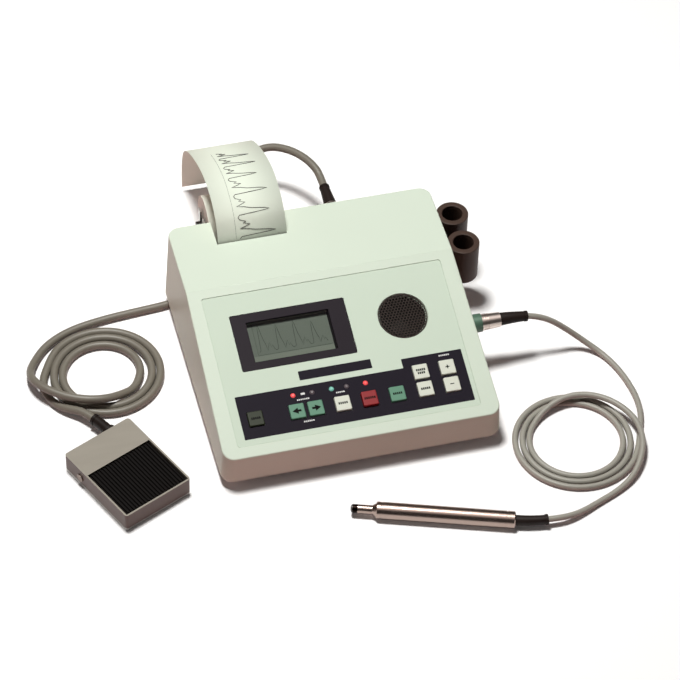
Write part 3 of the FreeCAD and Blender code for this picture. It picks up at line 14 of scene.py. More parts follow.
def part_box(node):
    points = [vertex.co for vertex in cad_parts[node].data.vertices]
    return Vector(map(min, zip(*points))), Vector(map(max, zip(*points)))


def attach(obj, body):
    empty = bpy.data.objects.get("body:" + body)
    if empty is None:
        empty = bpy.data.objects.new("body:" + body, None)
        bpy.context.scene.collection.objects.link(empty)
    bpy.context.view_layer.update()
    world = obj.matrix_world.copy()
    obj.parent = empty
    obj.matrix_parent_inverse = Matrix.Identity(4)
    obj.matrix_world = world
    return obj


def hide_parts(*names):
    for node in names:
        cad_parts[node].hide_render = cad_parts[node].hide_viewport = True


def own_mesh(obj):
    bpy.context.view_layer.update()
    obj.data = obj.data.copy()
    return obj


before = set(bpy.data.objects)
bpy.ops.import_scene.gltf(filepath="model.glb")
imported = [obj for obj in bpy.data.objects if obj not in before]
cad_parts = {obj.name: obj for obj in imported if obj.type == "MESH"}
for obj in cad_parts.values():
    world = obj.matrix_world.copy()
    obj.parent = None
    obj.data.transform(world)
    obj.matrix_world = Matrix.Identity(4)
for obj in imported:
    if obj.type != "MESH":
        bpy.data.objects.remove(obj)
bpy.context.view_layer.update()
scene = bpy.context.scene
scene.view_settings.view_transform = "Standard"

# %% [markdown]
# ## Camera
# The picture was taken from above and from the left with a long lens. A fitted camera gives the same angle:
# its place, its three axes and a lens of about 174 mm on a square frame. Its matrix is written out, because
# the camera also leans by almost two degrees, which a simple aim at a target would lose.

# %% Camera
right = Vector((0.9687766, -0.2470505, 0.0209279))
down = Vector((-0.1671209, -0.7130255, -0.6809297))
ahead = Vector((0.1831461, 0.6561712, -0.7320497))
camera_place = (-0.44064, -1.78221, 2.00864)
lens_length = 173.72
film_width = 36.0
far_clip = 20.0
camera_data = bpy.data.cameras.new("photo_camera")
camera_data.lens = lens_length
camera_data.sensor_width = film_width
camera_data.clip_end = far_clip
camera = bpy.data.objects.new("photo_camera", camera_data)
axes = Matrix((right, -down, -ahead)).transposed().to_4x4()
camera.matrix_world = Matrix.Translation(camera_place) @ axes
scene.collection.objects.link(camera)
scene.camera = camera
print("camera", [round(value, 3) for value in camera.matrix_world.translation])

# %% [markdown]
# ## Cords
# Both cords lie on the table in flat, loose coils. A tube made of straight runs and arcs looks like bent
# wire, so each cord is one smooth NURBS line drawn by control points: the lead, the turns of the coil and
# the tail. The turns come from a loop that walks round the coil's centre while its distance grows or
# shrinks by the half turn.

# %% Coil turns and the cord curve
half_turn = 180
half_turn_steps = 8
curve_steps = 8
cord_round_steps = 6
ink_round_steps = 1


def coil_points(centre, distances, start_angle, turning, height):
    """Control points of a flat coil, given its distance from the centre at each half turn."""
    points = []
    for half, (near, far) in enumerate(zip(distances, distances[1:])):
        for step in range(half_turn_steps):
            share = step / half_turn_steps
            angle = math.radians(start_angle + turning * half_turn * (half + share))
            reach = near + (far - near) * share
            across, up = reach * math.cos(angle), reach * math.sin(angle)
            points.append((centre[0] + across, centre[1] + up, height))
    return points


def smooth_line(name, points, radius=0.0, kind="NURBS"):
    """A curve drawn by its control points; each point's radius scales down a bevel one metre deep."""
    data = bpy.data.curves.new(name, "CURVE")
    data.dimensions = "3D"
    data.bevel_depth = 1.0 if radius else 0.0
    data.bevel_resolution = cord_round_steps if kind == "NURBS" else ink_round_steps
    data.resolution_u = curve_steps
    data.use_fill_caps = True
    spline = data.splines.new(kind)
    spline.points.add(len(points) - 1)
    for point, place in zip(spline.points, points):
        point.co = (*place, 1.0)
        point.radius = radius
    spline.order_u = 3
    spline.use_endpoint_u = True
    line = bpy.data.objects.new(name, data)
    scene.collection.objects.link(line)
    print(name, "points", len(points))
    return line


# %% Probe cord
coil_start_angle = -20
probe_cord_radius = 0.0025
probe_coil_middle = (0.2196, -0.1357)
probe_coil_distances = (0.0525, 0.0494, 0.0463, 0.0432, 0.0401, 0.0376)
probe_lead = [
    (0.2077, -0.0295, 0.0434), (0.2160, -0.0296, 0.0414), (0.2295, -0.0313, 0.0346),
    (0.2450, -0.0332, 0.0203), (0.2590, -0.0388, 0.0085), (0.2708, -0.0502, 0.0028),
    (0.2782, -0.0680, 0.0025), (0.2822, -0.0875, 0.0025), (0.2833, -0.1055, 0.0025),
    (0.2808, -0.1225, 0.0025), (0.2747, -0.1377, 0.0025),
]
probe_coil = coil_points(probe_coil_middle, probe_coil_distances, coil_start_angle, -1, probe_cord_radius)
probe_tail = [
    (0.1845, -0.1225, 0.0025), (0.1913, -0.1119, 0.0026), (0.2045, -0.1005, 0.0062),
    (0.2225, -0.0942, 0.0100), (0.2404, -0.0958, 0.0110), (0.2560, -0.1045, 0.0110),
    (0.2671, -0.1185, 0.0110), (0.2730, -0.1356, 0.0110), (0.2720, -0.1537, 0.0102),
    (0.2652, -0.1705, 0.0080), (0.2535, -0.1855, 0.0046), (0.2375, -0.1955, 0.0026),
    (0.2200, -0.2028, 0.0026), (0.2060, -0.2092, 0.0036), (0.1950, -0.2132, 0.0054),
    (0.1834, -0.2151, 0.0070), (0.1730, -0.2142, 0.0070),
]
probe_cord = smooth_line("probe_cord", probe_lead + probe_coil + probe_tail, probe_cord_radius)
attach(probe_cord, "console")
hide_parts("probe_cord_lead", "probe_cord_coil", "probe_cord_tail")

# %% Foot switch cord
pedal_cord_radius = 0.0034
pedal_coil_middle = (-0.1370, 0.0230)
pedal_coil_distances = (0.0290, 0.0355, 0.0391, 0.0427, 0.0463, 0.0499)
pedal_lead = [
    (0.0810, 0.1520, 0.0470), (0.0810, 0.1620, 0.0470), (0.0790, 0.1735, 0.0500),
    (0.0715, 0.1895, 0.0505), (0.0600, 0.2035, 0.0490), (0.0465, 0.2125, 0.0460),
    (0.0325, 0.2130, 0.0410), (0.0205, 0.2050, 0.0335), (0.0125, 0.1915, 0.0250),
    (0.0077, 0.1755, 0.0168), (0.0030, 0.1595, 0.0095), (-0.0045, 0.1445, 0.0049),
    (-0.0130, 0.1305, 0.0034), (-0.0225, 0.1170, 0.0034), (-0.0335, 0.1050, 0.0034),
    (-0.0460, 0.0960, 0.0034), (-0.0600, 0.0902, 0.0034), (-0.0745, 0.0874, 0.0034),
    (-0.0895, 0.0863, 0.0034), (-0.1050, 0.0850, 0.0034), (-0.1205, 0.0836, 0.0034),
    (-0.1360, 0.0813, 0.0034), (-0.1515, 0.0780, 0.0034), (-0.1665, 0.0720, 0.0034),
    (-0.1800, 0.0630, 0.0034), (-0.1900, 0.0510, 0.0034), (-0.1975, 0.0370, 0.0062),
    (-0.1979, 0.0225, 0.0114), (-0.1911, 0.0092, 0.0144), (-0.1798, -0.0011, 0.0144),
    (-0.1675, -0.0085, 0.0144), (-0.1540, -0.0130, 0.0142), (-0.1403, -0.0125, 0.0122),
    (-0.1280, -0.0062, 0.0074), (-0.1175, 0.0005, 0.0036),
]
pedal_coil = coil_points(pedal_coil_middle, pedal_coil_distances, coil_start_angle, 1, pedal_cord_radius)
pedal_tail = [
    (-0.1856, 0.0337, 0.0034), (-0.1886, 0.0250, 0.0034), (-0.1898, 0.0135, 0.0034),
    (-0.1863, 0.0040, 0.0034), (-0.1805, -0.0055, 0.0044), (-0.1730, -0.0125, 0.0067),
    (-0.1637, -0.0192, 0.0090), (-0.1568, -0.0291, 0.0090),
]
pedal_cord = smooth_line("footswitch_cord", pedal_lead + pedal_coil + pedal_tail, pedal_cord_radius)
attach(pedal_cord, "console")
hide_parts("footswitch_cord_lead", "footswitch_cord_coil", "footswitch_cord_tail")

# %% [markdown]
# ## Node helpers
# A material is a small graph of nodes, and wiring it by hand takes three lines for each link. These helpers
# take a value or another node's socket, whichever comes. Colours are written as they look, from 0 to 255,
# and turned into the linear light that the renderer counts in.

# %% Node helpers
full_tone = 255
curve_lift = 0.055
curve_power = 2.4
mix_inputs = (0, 6, 7)
mix_output = 2


def tone(red, green, blue):
    """A colour as it looks, given from 0 to 255, in linear light."""
    lifted = [(value / full_tone + curve_lift) / (1 + curve_lift) for value in (red, green, blue)]
    return (*(value ** curve_power for value in lifted), 1.0)


def feed(tree, socket, value):
    """Set an input socket to a plain value, or link it to another node's socket."""
    if isinstance(value, bpy.types.NodeSocket):
        tree.links.new(value, socket)
    else:
        socket.default_value = value


def work_out(tree, operation, *values):
    """One sum or comparison of values."""
    made = tree.nodes.new("ShaderNodeMath")
    made.operation = operation
    for socket, value in zip(made.inputs, values):
        feed(tree, socket, value)
    return made.outputs[0]


def mix_colours(tree, share, first, second):
    """The first colour where the share is 0 and the second where it is 1."""
    made = tree.nodes.new("ShaderNodeMix")
    made.data_type = "RGBA"
    for number, value in zip(mix_inputs, (share, first, second)):
        feed(tree, made.inputs[number], value)
    return made.outputs[mix_output]


def shader_of(material):
    """A material's tree and its shader."""
    return material.node_tree, material.node_tree.nodes["Principled BSDF"]


def new_material(name):
    """An empty node material, with its tree and its shader."""
    material = bpy.data.materials.new(name)
    material.use_nodes = True
    return material, *shader_of(material)


def new_group(name, inputs, outputs):
    """A shader node group with its sockets; returns it with its inner input and output sockets."""
    tree = bpy.data.node_groups.new(name, "ShaderNodeTree")
    for label, kind, value in inputs:
        socket = tree.interface.new_socket(label, in_out="INPUT", socket_type="NodeSocket" + kind)
        socket.default_value = value
    for label, kind in outputs:
        tree.interface.new_socket(label, in_out="OUTPUT", socket_type="NodeSocket" + kind)
    return tree, tree.nodes.new("NodeGroupInput").outputs, tree.nodes.new("NodeGroupOutput").inputs


def place_group(tree, group, **values):
    """Put a node group into a material, with values for its inputs, and give back its outputs."""
    made = tree.nodes.new("ShaderNodeGroup")
    made.node_tree = group
    for label, value in values.items():
        feed(tree, made.inputs[label], value)
    return made.outputs


print("black is", tone(0, 0, 0)[:3], "white is", tone(255, 255, 255)[:3])

# %% [markdown]
# ## Table and light
# The table is plain white paper. It looks white to the camera, to mirrors and to glass, but it gives back
# only a dim, warm light to the walls, as in the picture, where the case's walls are much darker than its
# top. A soft lamp hangs over the set, a little behind it and to the left, and a weak, warm one stands
# further to the left. The room itself is dim, apart from a bright patch overhead that is seen in mirrors
# only.

# %% Table
table_reach = 4.0
table_bounce = (0.80, 0.47, 0.47, 1)
table_white = (1.0, 0.985, 1.0, 1)
table_glow = 0.02
table_mesh = bpy.data.meshes.new("table")
shape = bmesh.new()
bmesh.ops.create_grid(shape, x_segments=1, y_segments=1, size=table_reach)
shape.to_mesh(table_mesh)
shape.free()
table = bpy.data.objects.new("table", table_mesh)
scene.collection.objects.link(table)
table_material, tree, shader = new_material("white_table")
shader.inputs["Roughness"].default_value = 0.9
shader.inputs["Specular IOR Level"].default_value = 0.1
path = tree.nodes.new("ShaderNodeLightPath")
seen = work_out(tree, "MAXIMUM", path.outputs["Is Camera Ray"], path.outputs["Is Glossy Ray"])
seen = work_out(tree, "MAXIMUM", seen, path.outputs["Is Transmission Ray"])
feed(tree, shader.inputs["Base Color"], mix_colours(tree, seen, table_bounce, table_white))
feed(tree, shader.inputs["Emission Color"], (1, 1, 1, 1))
feed(tree, shader.inputs["Emission Strength"], work_out(tree, "MULTIPLY", seen, table_glow))
table_mesh.materials.append(table_material)
print("table", table.name)

# %% Lamps
def soft_lamp(name, place, target, size, power, colour):
    """A square soft lamp that faces a target."""
    data = bpy.data.lights.new(name, "AREA")
    data.size = size
    data.energy = power
    data.color = colour
    lamp = bpy.data.objects.new(name, data)
    lamp.location = place
    lamp.rotation_euler = (Vector(target) - Vector(place)).to_track_quat("-Z", "Y").to_euler()
    scene.collection.objects.link(lamp)


soft_lamp("over_lamp", place=(-0.16, 0.22, 1.95), target=(0, 0, 0), size=0.36, power=43.5,
          colour=(0.99, 1.0, 0.965))
soft_lamp("left_lamp", place=(-1.6, -0.5, 0.9), target=(0, 0, 0.03), size=0.8, power=1.6,
          colour=(1.0, 0.82, 0.77))

# %% World
room_colour = (0.95, 0.88, 0.85, 1)
room_strength = 0.05
patch_strength = 1.0
patch_edge = 0.78
patch_full = 0.96
world = bpy.data.worlds.new("soft_room")
world.use_nodes = True
scene.world = world
tree = world.node_tree
background = tree.nodes["Background"]
background.inputs["Color"].default_value = room_colour
height = tree.nodes.new("ShaderNodeSeparateXYZ")
feed(tree, height.inputs[0], tree.nodes.new("ShaderNodeTexCoord").outputs["Generated"])
overhead = tree.nodes.new("ShaderNodeMapRange")
for label, value in (("Value", height.outputs["Z"]), ("From Min", patch_edge), ("From Max", patch_full),
                     ("To Min", room_strength), ("To Max", patch_strength)):
    feed(tree, overhead.inputs[label], value)
path = tree.nodes.new("ShaderNodeLightPath")
extra = work_out(tree, "SUBTRACT", overhead.outputs["Result"], room_strength)
mirrored = work_out(tree, "MULTIPLY", path.outputs["Is Glossy Ray"], extra)
feed(tree, background.inputs["Strength"], work_out(tree, "ADD", mirrored, room_strength))
print("world", world.name)

# %% [markdown]
# ## Shared finishes
# Plastic, rubber, paper and metal each show something fine when you come close: a spark-eroded grain, a
# dusty bloom, fibres, drawn lines. One node group gives them all, with inputs for the colour, the size and
# depth of the grain, the roughness, the strength of the clouds and a stretch that turns grain into drawn
# lines. A finish adds how metallic and how glossy the surface is: dark inks and rubber need little gloss,
# or the lamp greys them. The group reads object coordinates, which are metres in the part's frame, so the
# grain stays put when a piece moves.

# %% Group for grain, clouds and drawn lines
cloud_scale = 22.0
grain_detail = 3.0
cloud_detail = 4.0
noise_middle = 0.5
speck_share = 0.35
gloss_share = 0.6


def grain_group():
    """Fine grain in the surface, and clouds and specks in its colour and gloss."""
    tree, given, made = new_group("fine_grain", [
        ("Color", "Color", (0.8, 0.8, 0.8, 1)), ("Roughness", "Float", 0.5), ("Grain", "Float", 900.0),
        ("Depth", "Float", 0.00002), ("Clouds", "Float", 0.06), ("Stretch", "Vector", (1, 1, 1)),
    ], [("Color", "Color"), ("Roughness", "Float"), ("Normal", "Vector")])
    drawn = tree.nodes.new("ShaderNodeVectorMath")
    drawn.operation = "MULTIPLY"
    feed(tree, drawn.inputs[0], tree.nodes.new("ShaderNodeTexCoord").outputs["Object"])
    feed(tree, drawn.inputs[1], given["Stretch"])
    layers = []
    for scale, detail in ((given["Grain"], grain_detail), (cloud_scale, cloud_detail)):
        noise = tree.nodes.new("ShaderNodeTexNoise")
        feed(tree, noise.inputs["Vector"], drawn.outputs[0])
        feed(tree, noise.inputs["Scale"], scale)
        feed(tree, noise.inputs["Detail"], detail)
        layers.append(noise.outputs[0])
    fine, broad = layers
    sway = work_out(tree, "SUBTRACT", broad, noise_middle)
    speck = work_out(tree, "SUBTRACT", fine, noise_middle)
    both = work_out(tree, "MULTIPLY_ADD", speck, speck_share, sway)
    tinted = tree.nodes.new("ShaderNodeHueSaturation")
    feed(tree, tinted.inputs["Value"], work_out(tree, "MULTIPLY_ADD", both, given["Clouds"], 1.0))
    feed(tree, tinted.inputs["Color"], given["Color"])
    feed(tree, made["Color"], tinted.outputs["Color"])
    gloss_sway = work_out(tree, "MULTIPLY", both, work_out(tree, "MULTIPLY", given["Clouds"], gloss_share))
    feed(tree, made["Roughness"], work_out(tree, "ADD", gloss_sway, given["Roughness"]))
    bump = tree.nodes.new("ShaderNodeBump")
    feed(tree, bump.inputs["Distance"], given["Depth"])
    feed(tree, bump.inputs["Height"], fine)
    feed(tree, made["Normal"], bump.outputs["Normal"])
    return tree


grain = grain_group()


def finish(name, colour, roughness, size=1500.0, depth=0.00001, clouds=0.08, stretch=(1, 1, 1), metal=0.0,
           gloss=0.5, paint=None):
    """A material on the shared grain; paint may be a function that gives a colour socket from the tree."""
    material, tree, shader = new_material(name)
    made = place_group(tree, grain, Color=paint(tree, colour) if paint else colour, Roughness=roughness,
                       Grain=size, Depth=depth, Clouds=clouds, Stretch=stretch)
    feed(tree, shader.inputs["Base Color"], made["Color"])
    feed(tree, shader.inputs["Roughness"], made["Roughness"])
    feed(tree, shader.inputs["Normal"], made["Normal"])
    shader.inputs["Metallic"].default_value = metal
    shader.inputs["Specular IOR Level"].default_value = gloss
    return material


def dress(material, *nodes):
    """Give a material to solids of the frame."""
    for name in nodes:
        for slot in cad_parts[name].material_slots:
            slot.material = material
    print(material.name, "on", *nodes)


# %% Mouldings and rubber
dress(finish("base_plastic", tone(200, 205, 192), roughness=0.5, size=1400, depth=0.000012, clouds=0.05),
      "lower_case")
dress(finish("black_moulding", tone(28, 20, 17), roughness=0.45, size=1600, depth=0.00002, clouds=0.3,
             gloss=0.2), "mains_inlet", "power_rocker", "footswitch_microswitch", "roll_spindle",
      "platen_gear", "footswitch_gland")
dress(finish("black_rubber", tone(27, 15, 11), roughness=0.6, size=2200, depth=0.00002, clouds=0.4,
             gloss=0.25), "rubber_feet", "platen_roller", "probe_plug_boot", "footswitch_plug_boot",
      "probe_boot")
dress(finish("pad_rubber", tone(13, 9, 8), roughness=0.6, size=2200, depth=0.00002, clouds=0.5, gloss=0.08),
      "treadle_pad")
holder_plastic = finish("holder_plastic", tone(66, 50, 43), roughness=0.5, size=1500, depth=0.00002,
                        clouds=0.25, gloss=0.2)
dress(holder_plastic, "probe_holders")
dress(finish("lens_resin", tone(38, 30, 28), roughness=0.25, clouds=0.1), "probe_lens")
dress(finish("speaker_cone", tone(20, 16, 15), roughness=0.7, size=1800, depth=0.00003, clouds=0.4,
             gloss=0.2), "loudspeaker")
dress(finish("roll_paper", tone(212, 212, 201), roughness=0.8, size=2600, depth=0.00002, clouds=0.06),
      "paper_roll")

# %% Metals, ceramic and boards
dress(finish("zinc_steel", tone(190, 188, 184), roughness=0.36, size=1200, depth=0.000004, clouds=0.2,
             metal=1.0), "case_screws", "printer_frame", "roll_bracket", "treadle_spring",
      "footswitch_base")
dress(finish("pivot_steel", tone(128, 114, 105), roughness=0.4, clouds=0.1, metal=0.8), "treadle_pivot")
dress(finish("gear_brass", tone(196, 166, 100), roughness=0.34, size=1200, depth=0.000004, clouds=0.2,
             metal=1.0), "motor_gear")
dress(finish("connector_green", tone(90, 118, 102), roughness=0.34, size=1600, depth=0.000004, clouds=0.2,
             metal=0.2), "panel_sockets")
dress(finish("connector_shell", tone(226, 212, 204), roughness=0.30, size=1600, depth=0.0, clouds=0.05,
             metal=1.0), "probe_plug", "footswitch_plug")
collar_reach = 0.0052
collar_tone = tone(20, 14, 12)
lens_low, lens_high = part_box("probe_lens")
lens_middle = tuple((low + high) / 2 for low, high in zip(lens_low, lens_high))


def nose_paint(tree, steel):
    """Bare steel with a dark collar round the lens."""
    apart = tree.nodes.new("ShaderNodeVectorMath")
    apart.operation = "DISTANCE"
    feed(tree, apart.inputs[0], tree.nodes.new("ShaderNodeTexCoord").outputs["Object"])
    feed(tree, apart.inputs[1], lens_middle)
    near = work_out(tree, "LESS_THAN", apart.outputs["Value"], collar_reach)
    return mix_colours(tree, near, steel, collar_tone)


probe_tone = tone(166, 147, 138)
dress(finish("probe_steel", probe_tone, roughness=0.26, size=700, depth=0.0, clouds=0.04, stretch=(9, 1, 1),
             metal=1.0), "probe_barrel")
dress(finish("nose_steel", probe_tone, roughness=0.26, size=700, depth=0.0, clouds=0.04, stretch=(9, 1, 1),
             metal=1.0, paint=nose_paint), "probe_nose")
# Painted shade: the pedal's walls get a darker colour than its top, chosen by which way each surface faces.
pedal_wall_shade_tone = tone(102, 93, 88)


def pedal_shade_paint(tree, steel):
    """Brushed steel, pale where it faces up, with painted shade on its walls: the colour darkens as the
    surface turns away from up.
    """
    facing = tree.nodes.new("ShaderNodeSeparateXYZ")
    feed(tree, facing.inputs[0], tree.nodes.new("ShaderNodeNewGeometry").outputs["Normal"])
    return mix_colours(tree, facing.outputs["Z"], pedal_wall_shade_tone, steel)


dress(finish("pedal_steel_painted_shade", tone(146, 139, 129), roughness=0.42, size=900, depth=0.000004, clouds=0.14,
             stretch=(1, 6, 6), metal=0.12, gloss=0.3, paint=pedal_shade_paint), "footswitch_box",
      "footswitch_treadle")
dress(finish("head_ceramic", tone(204, 201, 191), roughness=0.4, clouds=0.08), "thermal_head",
      "probe_crystals")
dress(finish("motor_can", tone(90, 90, 94), roughness=0.4, clouds=0.15), "stepper_motor")
dress(finish("board_green", tone(38, 94, 56), roughness=0.35, clouds=0.3), "key_board", "main_board",
      "power_supply")

# %% Keys and cord jackets
dress(finish("key_green", tone(92, 134, 112), roughness=0.45, gloss=0.15), "key_left", "key_right",
      "key_scale")
dress(finish("key_white", tone(206, 207, 195), roughness=0.45, clouds=0.06, gloss=0.2), "key_probe",
      "key_print", "key_feed", "key_volume_down", "key_volume_up")
dress(finish("key_red", tone(136, 34, 38), roughness=0.45, gloss=0.15), "key_freeze")
dress(finish("key_olive", tone(42, 47, 33), roughness=0.45, clouds=0.15, gloss=0.12), "key_menu")
probe_cord.data.materials.append(finish("pale_jacket", tone(154, 150, 141), roughness=0.46, size=1800,
                                        clouds=0.10))
pedal_cord.data.materials.append(finish("grey_jacket", tone(114, 108, 98), roughness=0.46, size=1800,
                                        clouds=0.12))
print("materials", len(bpy.data.materials))

# %% [markdown]
# ## The sloping panel
# Display, keys, lamps and loudspeaker sit on a panel that slopes by about fifteen degrees. Everything on it
# is easier to lay out flat, across and up the panel from the middle of its front edge, and one matrix then
# tips the layout into place. The same layout is wanted inside materials for the print, so a node group
# works it out from the object coordinates, and a second group turns a rounded box on the panel into a mask
# of ink.

# %% Panel frame and print groups
millimetres = 1000
slope_run = 0.96439
slope_rise = 0.26448
ink_edge = 0.06
panel_across = Vector((1, 0, 0))
panel_up = Vector((0, slope_run, slope_rise))
panel_out = Vector((0, -slope_rise, slope_run))
panel_origin = Vector((0.046, -0.1205, 0.0353))
panel_axes = Matrix((panel_across, panel_up, panel_out)).transposed().to_4x4()
panel_frame = Matrix.Translation(panel_origin) @ panel_axes


def panel_group():
    """Where a point lies across the panel, up it and above it, in millimetres."""
    axes = {"Across": panel_across, "Up": panel_up, "Above": panel_out}
    tree, _, made = new_group("panel_place", [], [(label, "Float") for label in axes])
    moved = tree.nodes.new("ShaderNodeVectorMath")
    moved.operation = "SUBTRACT"
    feed(tree, moved.inputs[0], tree.nodes.new("ShaderNodeTexCoord").outputs["Object"])
    feed(tree, moved.inputs[1], panel_origin)
    for label, axis in axes.items():
        along = tree.nodes.new("ShaderNodeVectorMath")
        along.operation = "DOT_PRODUCT"
        feed(tree, along.inputs[0], moved.outputs[0])
        feed(tree, along.inputs[1], axis * millimetres)
        feed(tree, made[label], along.outputs["Value"])
    return tree


def box_group():
    """A mask of ink: 1 inside a box with rounded corners, 0 outside, in panel millimetres."""
    tree, given, made = new_group("ink_box", [
        ("Across", "Float", 0.0), ("Up", "Float", 0.0), ("Left", "Float", -1.0), ("Right", "Float", 1.0),
        ("Low", "Float", -1.0), ("High", "Float", 1.0), ("Corner", "Float", 0.6)], [("Mask", "Float")])
    beyond = []
    for label, low, high in (("Across", "Left", "Right"), ("Up", "Low", "High")):
        short = work_out(tree, "SUBTRACT", work_out(tree, "ADD", given[low], given["Corner"]), given[label])
        over = work_out(tree, "ADD", work_out(tree, "SUBTRACT", given[label], given[high]), given["Corner"])
        outside = work_out(tree, "MAXIMUM", work_out(tree, "MAXIMUM", short, over), 0.0)
        beyond.append(work_out(tree, "MULTIPLY", outside, outside))
    distance = work_out(tree, "SQRT", work_out(tree, "ADD", *beyond))
    edge = tree.nodes.new("ShaderNodeMapRange")
    edge.interpolation_type = "SMOOTHSTEP"
    feed(tree, edge.inputs["Value"], work_out(tree, "SUBTRACT", distance, given["Corner"]))
    for label, value in (("From Min", -ink_edge), ("From Max", ink_edge), ("To Min", 1.0), ("To Max", 0.0)):
        feed(tree, edge.inputs[label], value)
    feed(tree, made["Mask"], edge.outputs["Result"])
    return tree


panel_place = panel_group()
ink_box = box_group()


def box_mask(tree, place, left, right, low, high, corner=0.6):
    """The mask of one printed box on the panel."""
    return place_group(tree, ink_box, Across=place["Across"], Up=place["Up"], Left=left, Right=right, Low=low,
                       High=high, Corner=corner)["Mask"]


print("panel frame", [round(value, 4) for value in panel_frame.translation])

# %% [markdown]
# ## Printed overlay
# The overlay is a sheet of satin film, printed from behind in pale green-white, with a dark field round the
# keys and a dark bar under the display. Ink has no thickness worth modelling, so it is painted by masks,
# which stay sharp at any distance. The walls of the pocket in which the display sits are painted near black
# by a mask too, as painted shade in that deep recess.

# %% Overlay film and the case
# Boxes are left, right, low and high, in panel millimetres
field_ink = tone(36, 32, 40)
key_field = (-94.5, 96.2, 15.5, 54.5)
key_field_tab = (45.7, 96.2, 40.0, 62.8)
bare_bar = (-39.2, 21.2, 59.5, 67.8)
bar_corner = 0.4
pocket_box = (-82.5, 12.5, 75.8, 126.9)
pocket_start = -1.2
# Painted shade: the pocket's walls, below the film, are painted near black.
pocket_painted_shade = tone(20, 18, 18)


def overlay_paint(tree, film):
    """The film's colour with the dark key field and the dark bar on it."""
    place = place_group(tree, panel_place)
    field = box_mask(tree, place, *key_field)
    tab = box_mask(tree, place, *key_field_tab)
    bar = box_mask(tree, place, *bare_bar, bar_corner)
    ink = work_out(tree, "MAXIMUM", work_out(tree, "MAXIMUM", field, tab), bar)
    return mix_colours(tree, ink, film, field_ink)


def case_paint_with_pocket_shade(tree, plastic):
    """The case's ivory, with painted shade: the walls of the pocket behind the display window are painted
    near black.
    """
    place = place_group(tree, panel_place)
    pocket = box_mask(tree, place, *pocket_box)
    sunk = work_out(tree, "MULTIPLY", work_out(tree, "LESS_THAN", place["Above"], pocket_start), pocket)
    return mix_colours(tree, sunk, plastic, pocket_painted_shade)


dress(finish("overlay_film", tone(198, 209, 194), roughness=0.40, size=1800, depth=0.000008, clouds=0.03,
             gloss=0.015, paint=overlay_paint), "front_overlay")
dress(finish("ivory_plastic", tone(204, 213, 199), roughness=0.42, size=1400, depth=0.000012, clouds=0.035,
             gloss=0.08, paint=case_paint_with_pocket_shade), "upper_case")

# %% [markdown]
# ## Display window
# The window is a clear plate, printed black on its back all round the display. Real glass with a print
# behind it would need two layers; here one plate is opaque where the print is and almost clear over the
# display, so the module is seen deep in its pocket, with the pocket's edge casting a shadow on it as in the
# picture.

# %% Window plate
display_box = (-70.8, -1.6, 82.4, 119.3)
screen_box = (-69.8, -3.0, 84.4, 121.6)
clearness = 0.92
window_material = finish("printed_window", tone(45, 40, 45), roughness=0.3, depth=0.000004, clouds=0.12,
                         gloss=0.02)
tree, shader = shader_of(window_material)
clear = box_mask(tree, place_group(tree, panel_place), *display_box)
feed(tree, shader.inputs["Alpha"], work_out(tree, "MULTIPLY_ADD", clear, -clearness, 1.0))
dress(window_material, "lcd_window")

# %% Display module
screen_corner = 0.1
foot_height = 5.5
dot_rate = 12.0
dot_strength = 0.35
crystal_tone, foot_tone, dot_tone = tone(108, 116, 106), tone(122, 130, 118), tone(97, 106, 96)


def display_paint(tree, bezel):
    """Grey-green liquid crystal with faint dots and a paler foot, in a black bezel."""
    place = place_group(tree, panel_place)
    left, right, low, high = screen_box
    screen = box_mask(tree, place, left, right, low, high, screen_corner)
    foot = box_mask(tree, place, left, right, low, low + foot_height, screen_corner)
    dots = []
    for label in ("Across", "Up"):
        wave = work_out(tree, "SINE", work_out(tree, "MULTIPLY", place[label], dot_rate))
        dots.append(work_out(tree, "MULTIPLY_ADD", wave, 0.5, 0.5))
    dotted = work_out(tree, "MULTIPLY", work_out(tree, "MULTIPLY", *dots), dot_strength)
    crystal = mix_colours(tree, foot, crystal_tone, foot_tone)
    crystal = mix_colours(tree, dotted, crystal, dot_tone)
    return mix_colours(tree, screen, bezel, crystal)


dress(finish("display_glass", tone(18, 17, 17), roughness=0.35, depth=0.000003, clouds=0.06, gloss=0.02,
             paint=display_paint), "lcd_module")

# %% [markdown]
# ## Lamps
# Five small lamps show through the key field. They are one node, so one material colours them by their
# place across the panel: two are red, one is green, and two are off. A ramp with hard steps does that, and
# feeds a faint glow as well as the colour.

# %% Lamp lenses
lamp_red, lamp_green, lamp_off = tone(226, 74, 74), tone(104, 164, 150), tone(72, 62, 66)
lamp_row_left = -65.0
lamp_row_span = 100.0
lamp_glow = 0.35


def lamp_paint(tree, off):
    """The lamps' colours, in hard steps across the panel."""
    ramp = tree.nodes.new("ShaderNodeValToRGB")
    ramp.color_ramp.interpolation = "CONSTANT"
    elements = ramp.color_ramp.elements
    steps = ((0.0, lamp_red), (0.25, off), (0.41, lamp_green), (0.5525, off), (0.694, lamp_red))
    ready = len(elements)
    for number, (start, colour) in enumerate(steps):
        element = elements[number] if number < ready else elements.new(start)
        element.position = start
        element.color = colour
    from_left = work_out(tree, "SUBTRACT", place_group(tree, panel_place)["Across"], lamp_row_left)
    feed(tree, ramp.inputs["Fac"], work_out(tree, "DIVIDE", from_left, lamp_row_span))
    return ramp.outputs["Color"]


lamp_material = finish("lamp_lenses", lamp_off, roughness=0.3, depth=0.000004, clouds=0.06,
                       paint=lamp_paint)
tree, shader = shader_of(lamp_material)
feed(tree, shader.inputs["Emission Color"], shader.inputs["Base Color"].links[0].from_socket)
shader.inputs["Emission Strength"].default_value = lamp_glow
dress(lamp_material, "indicator_lamps")

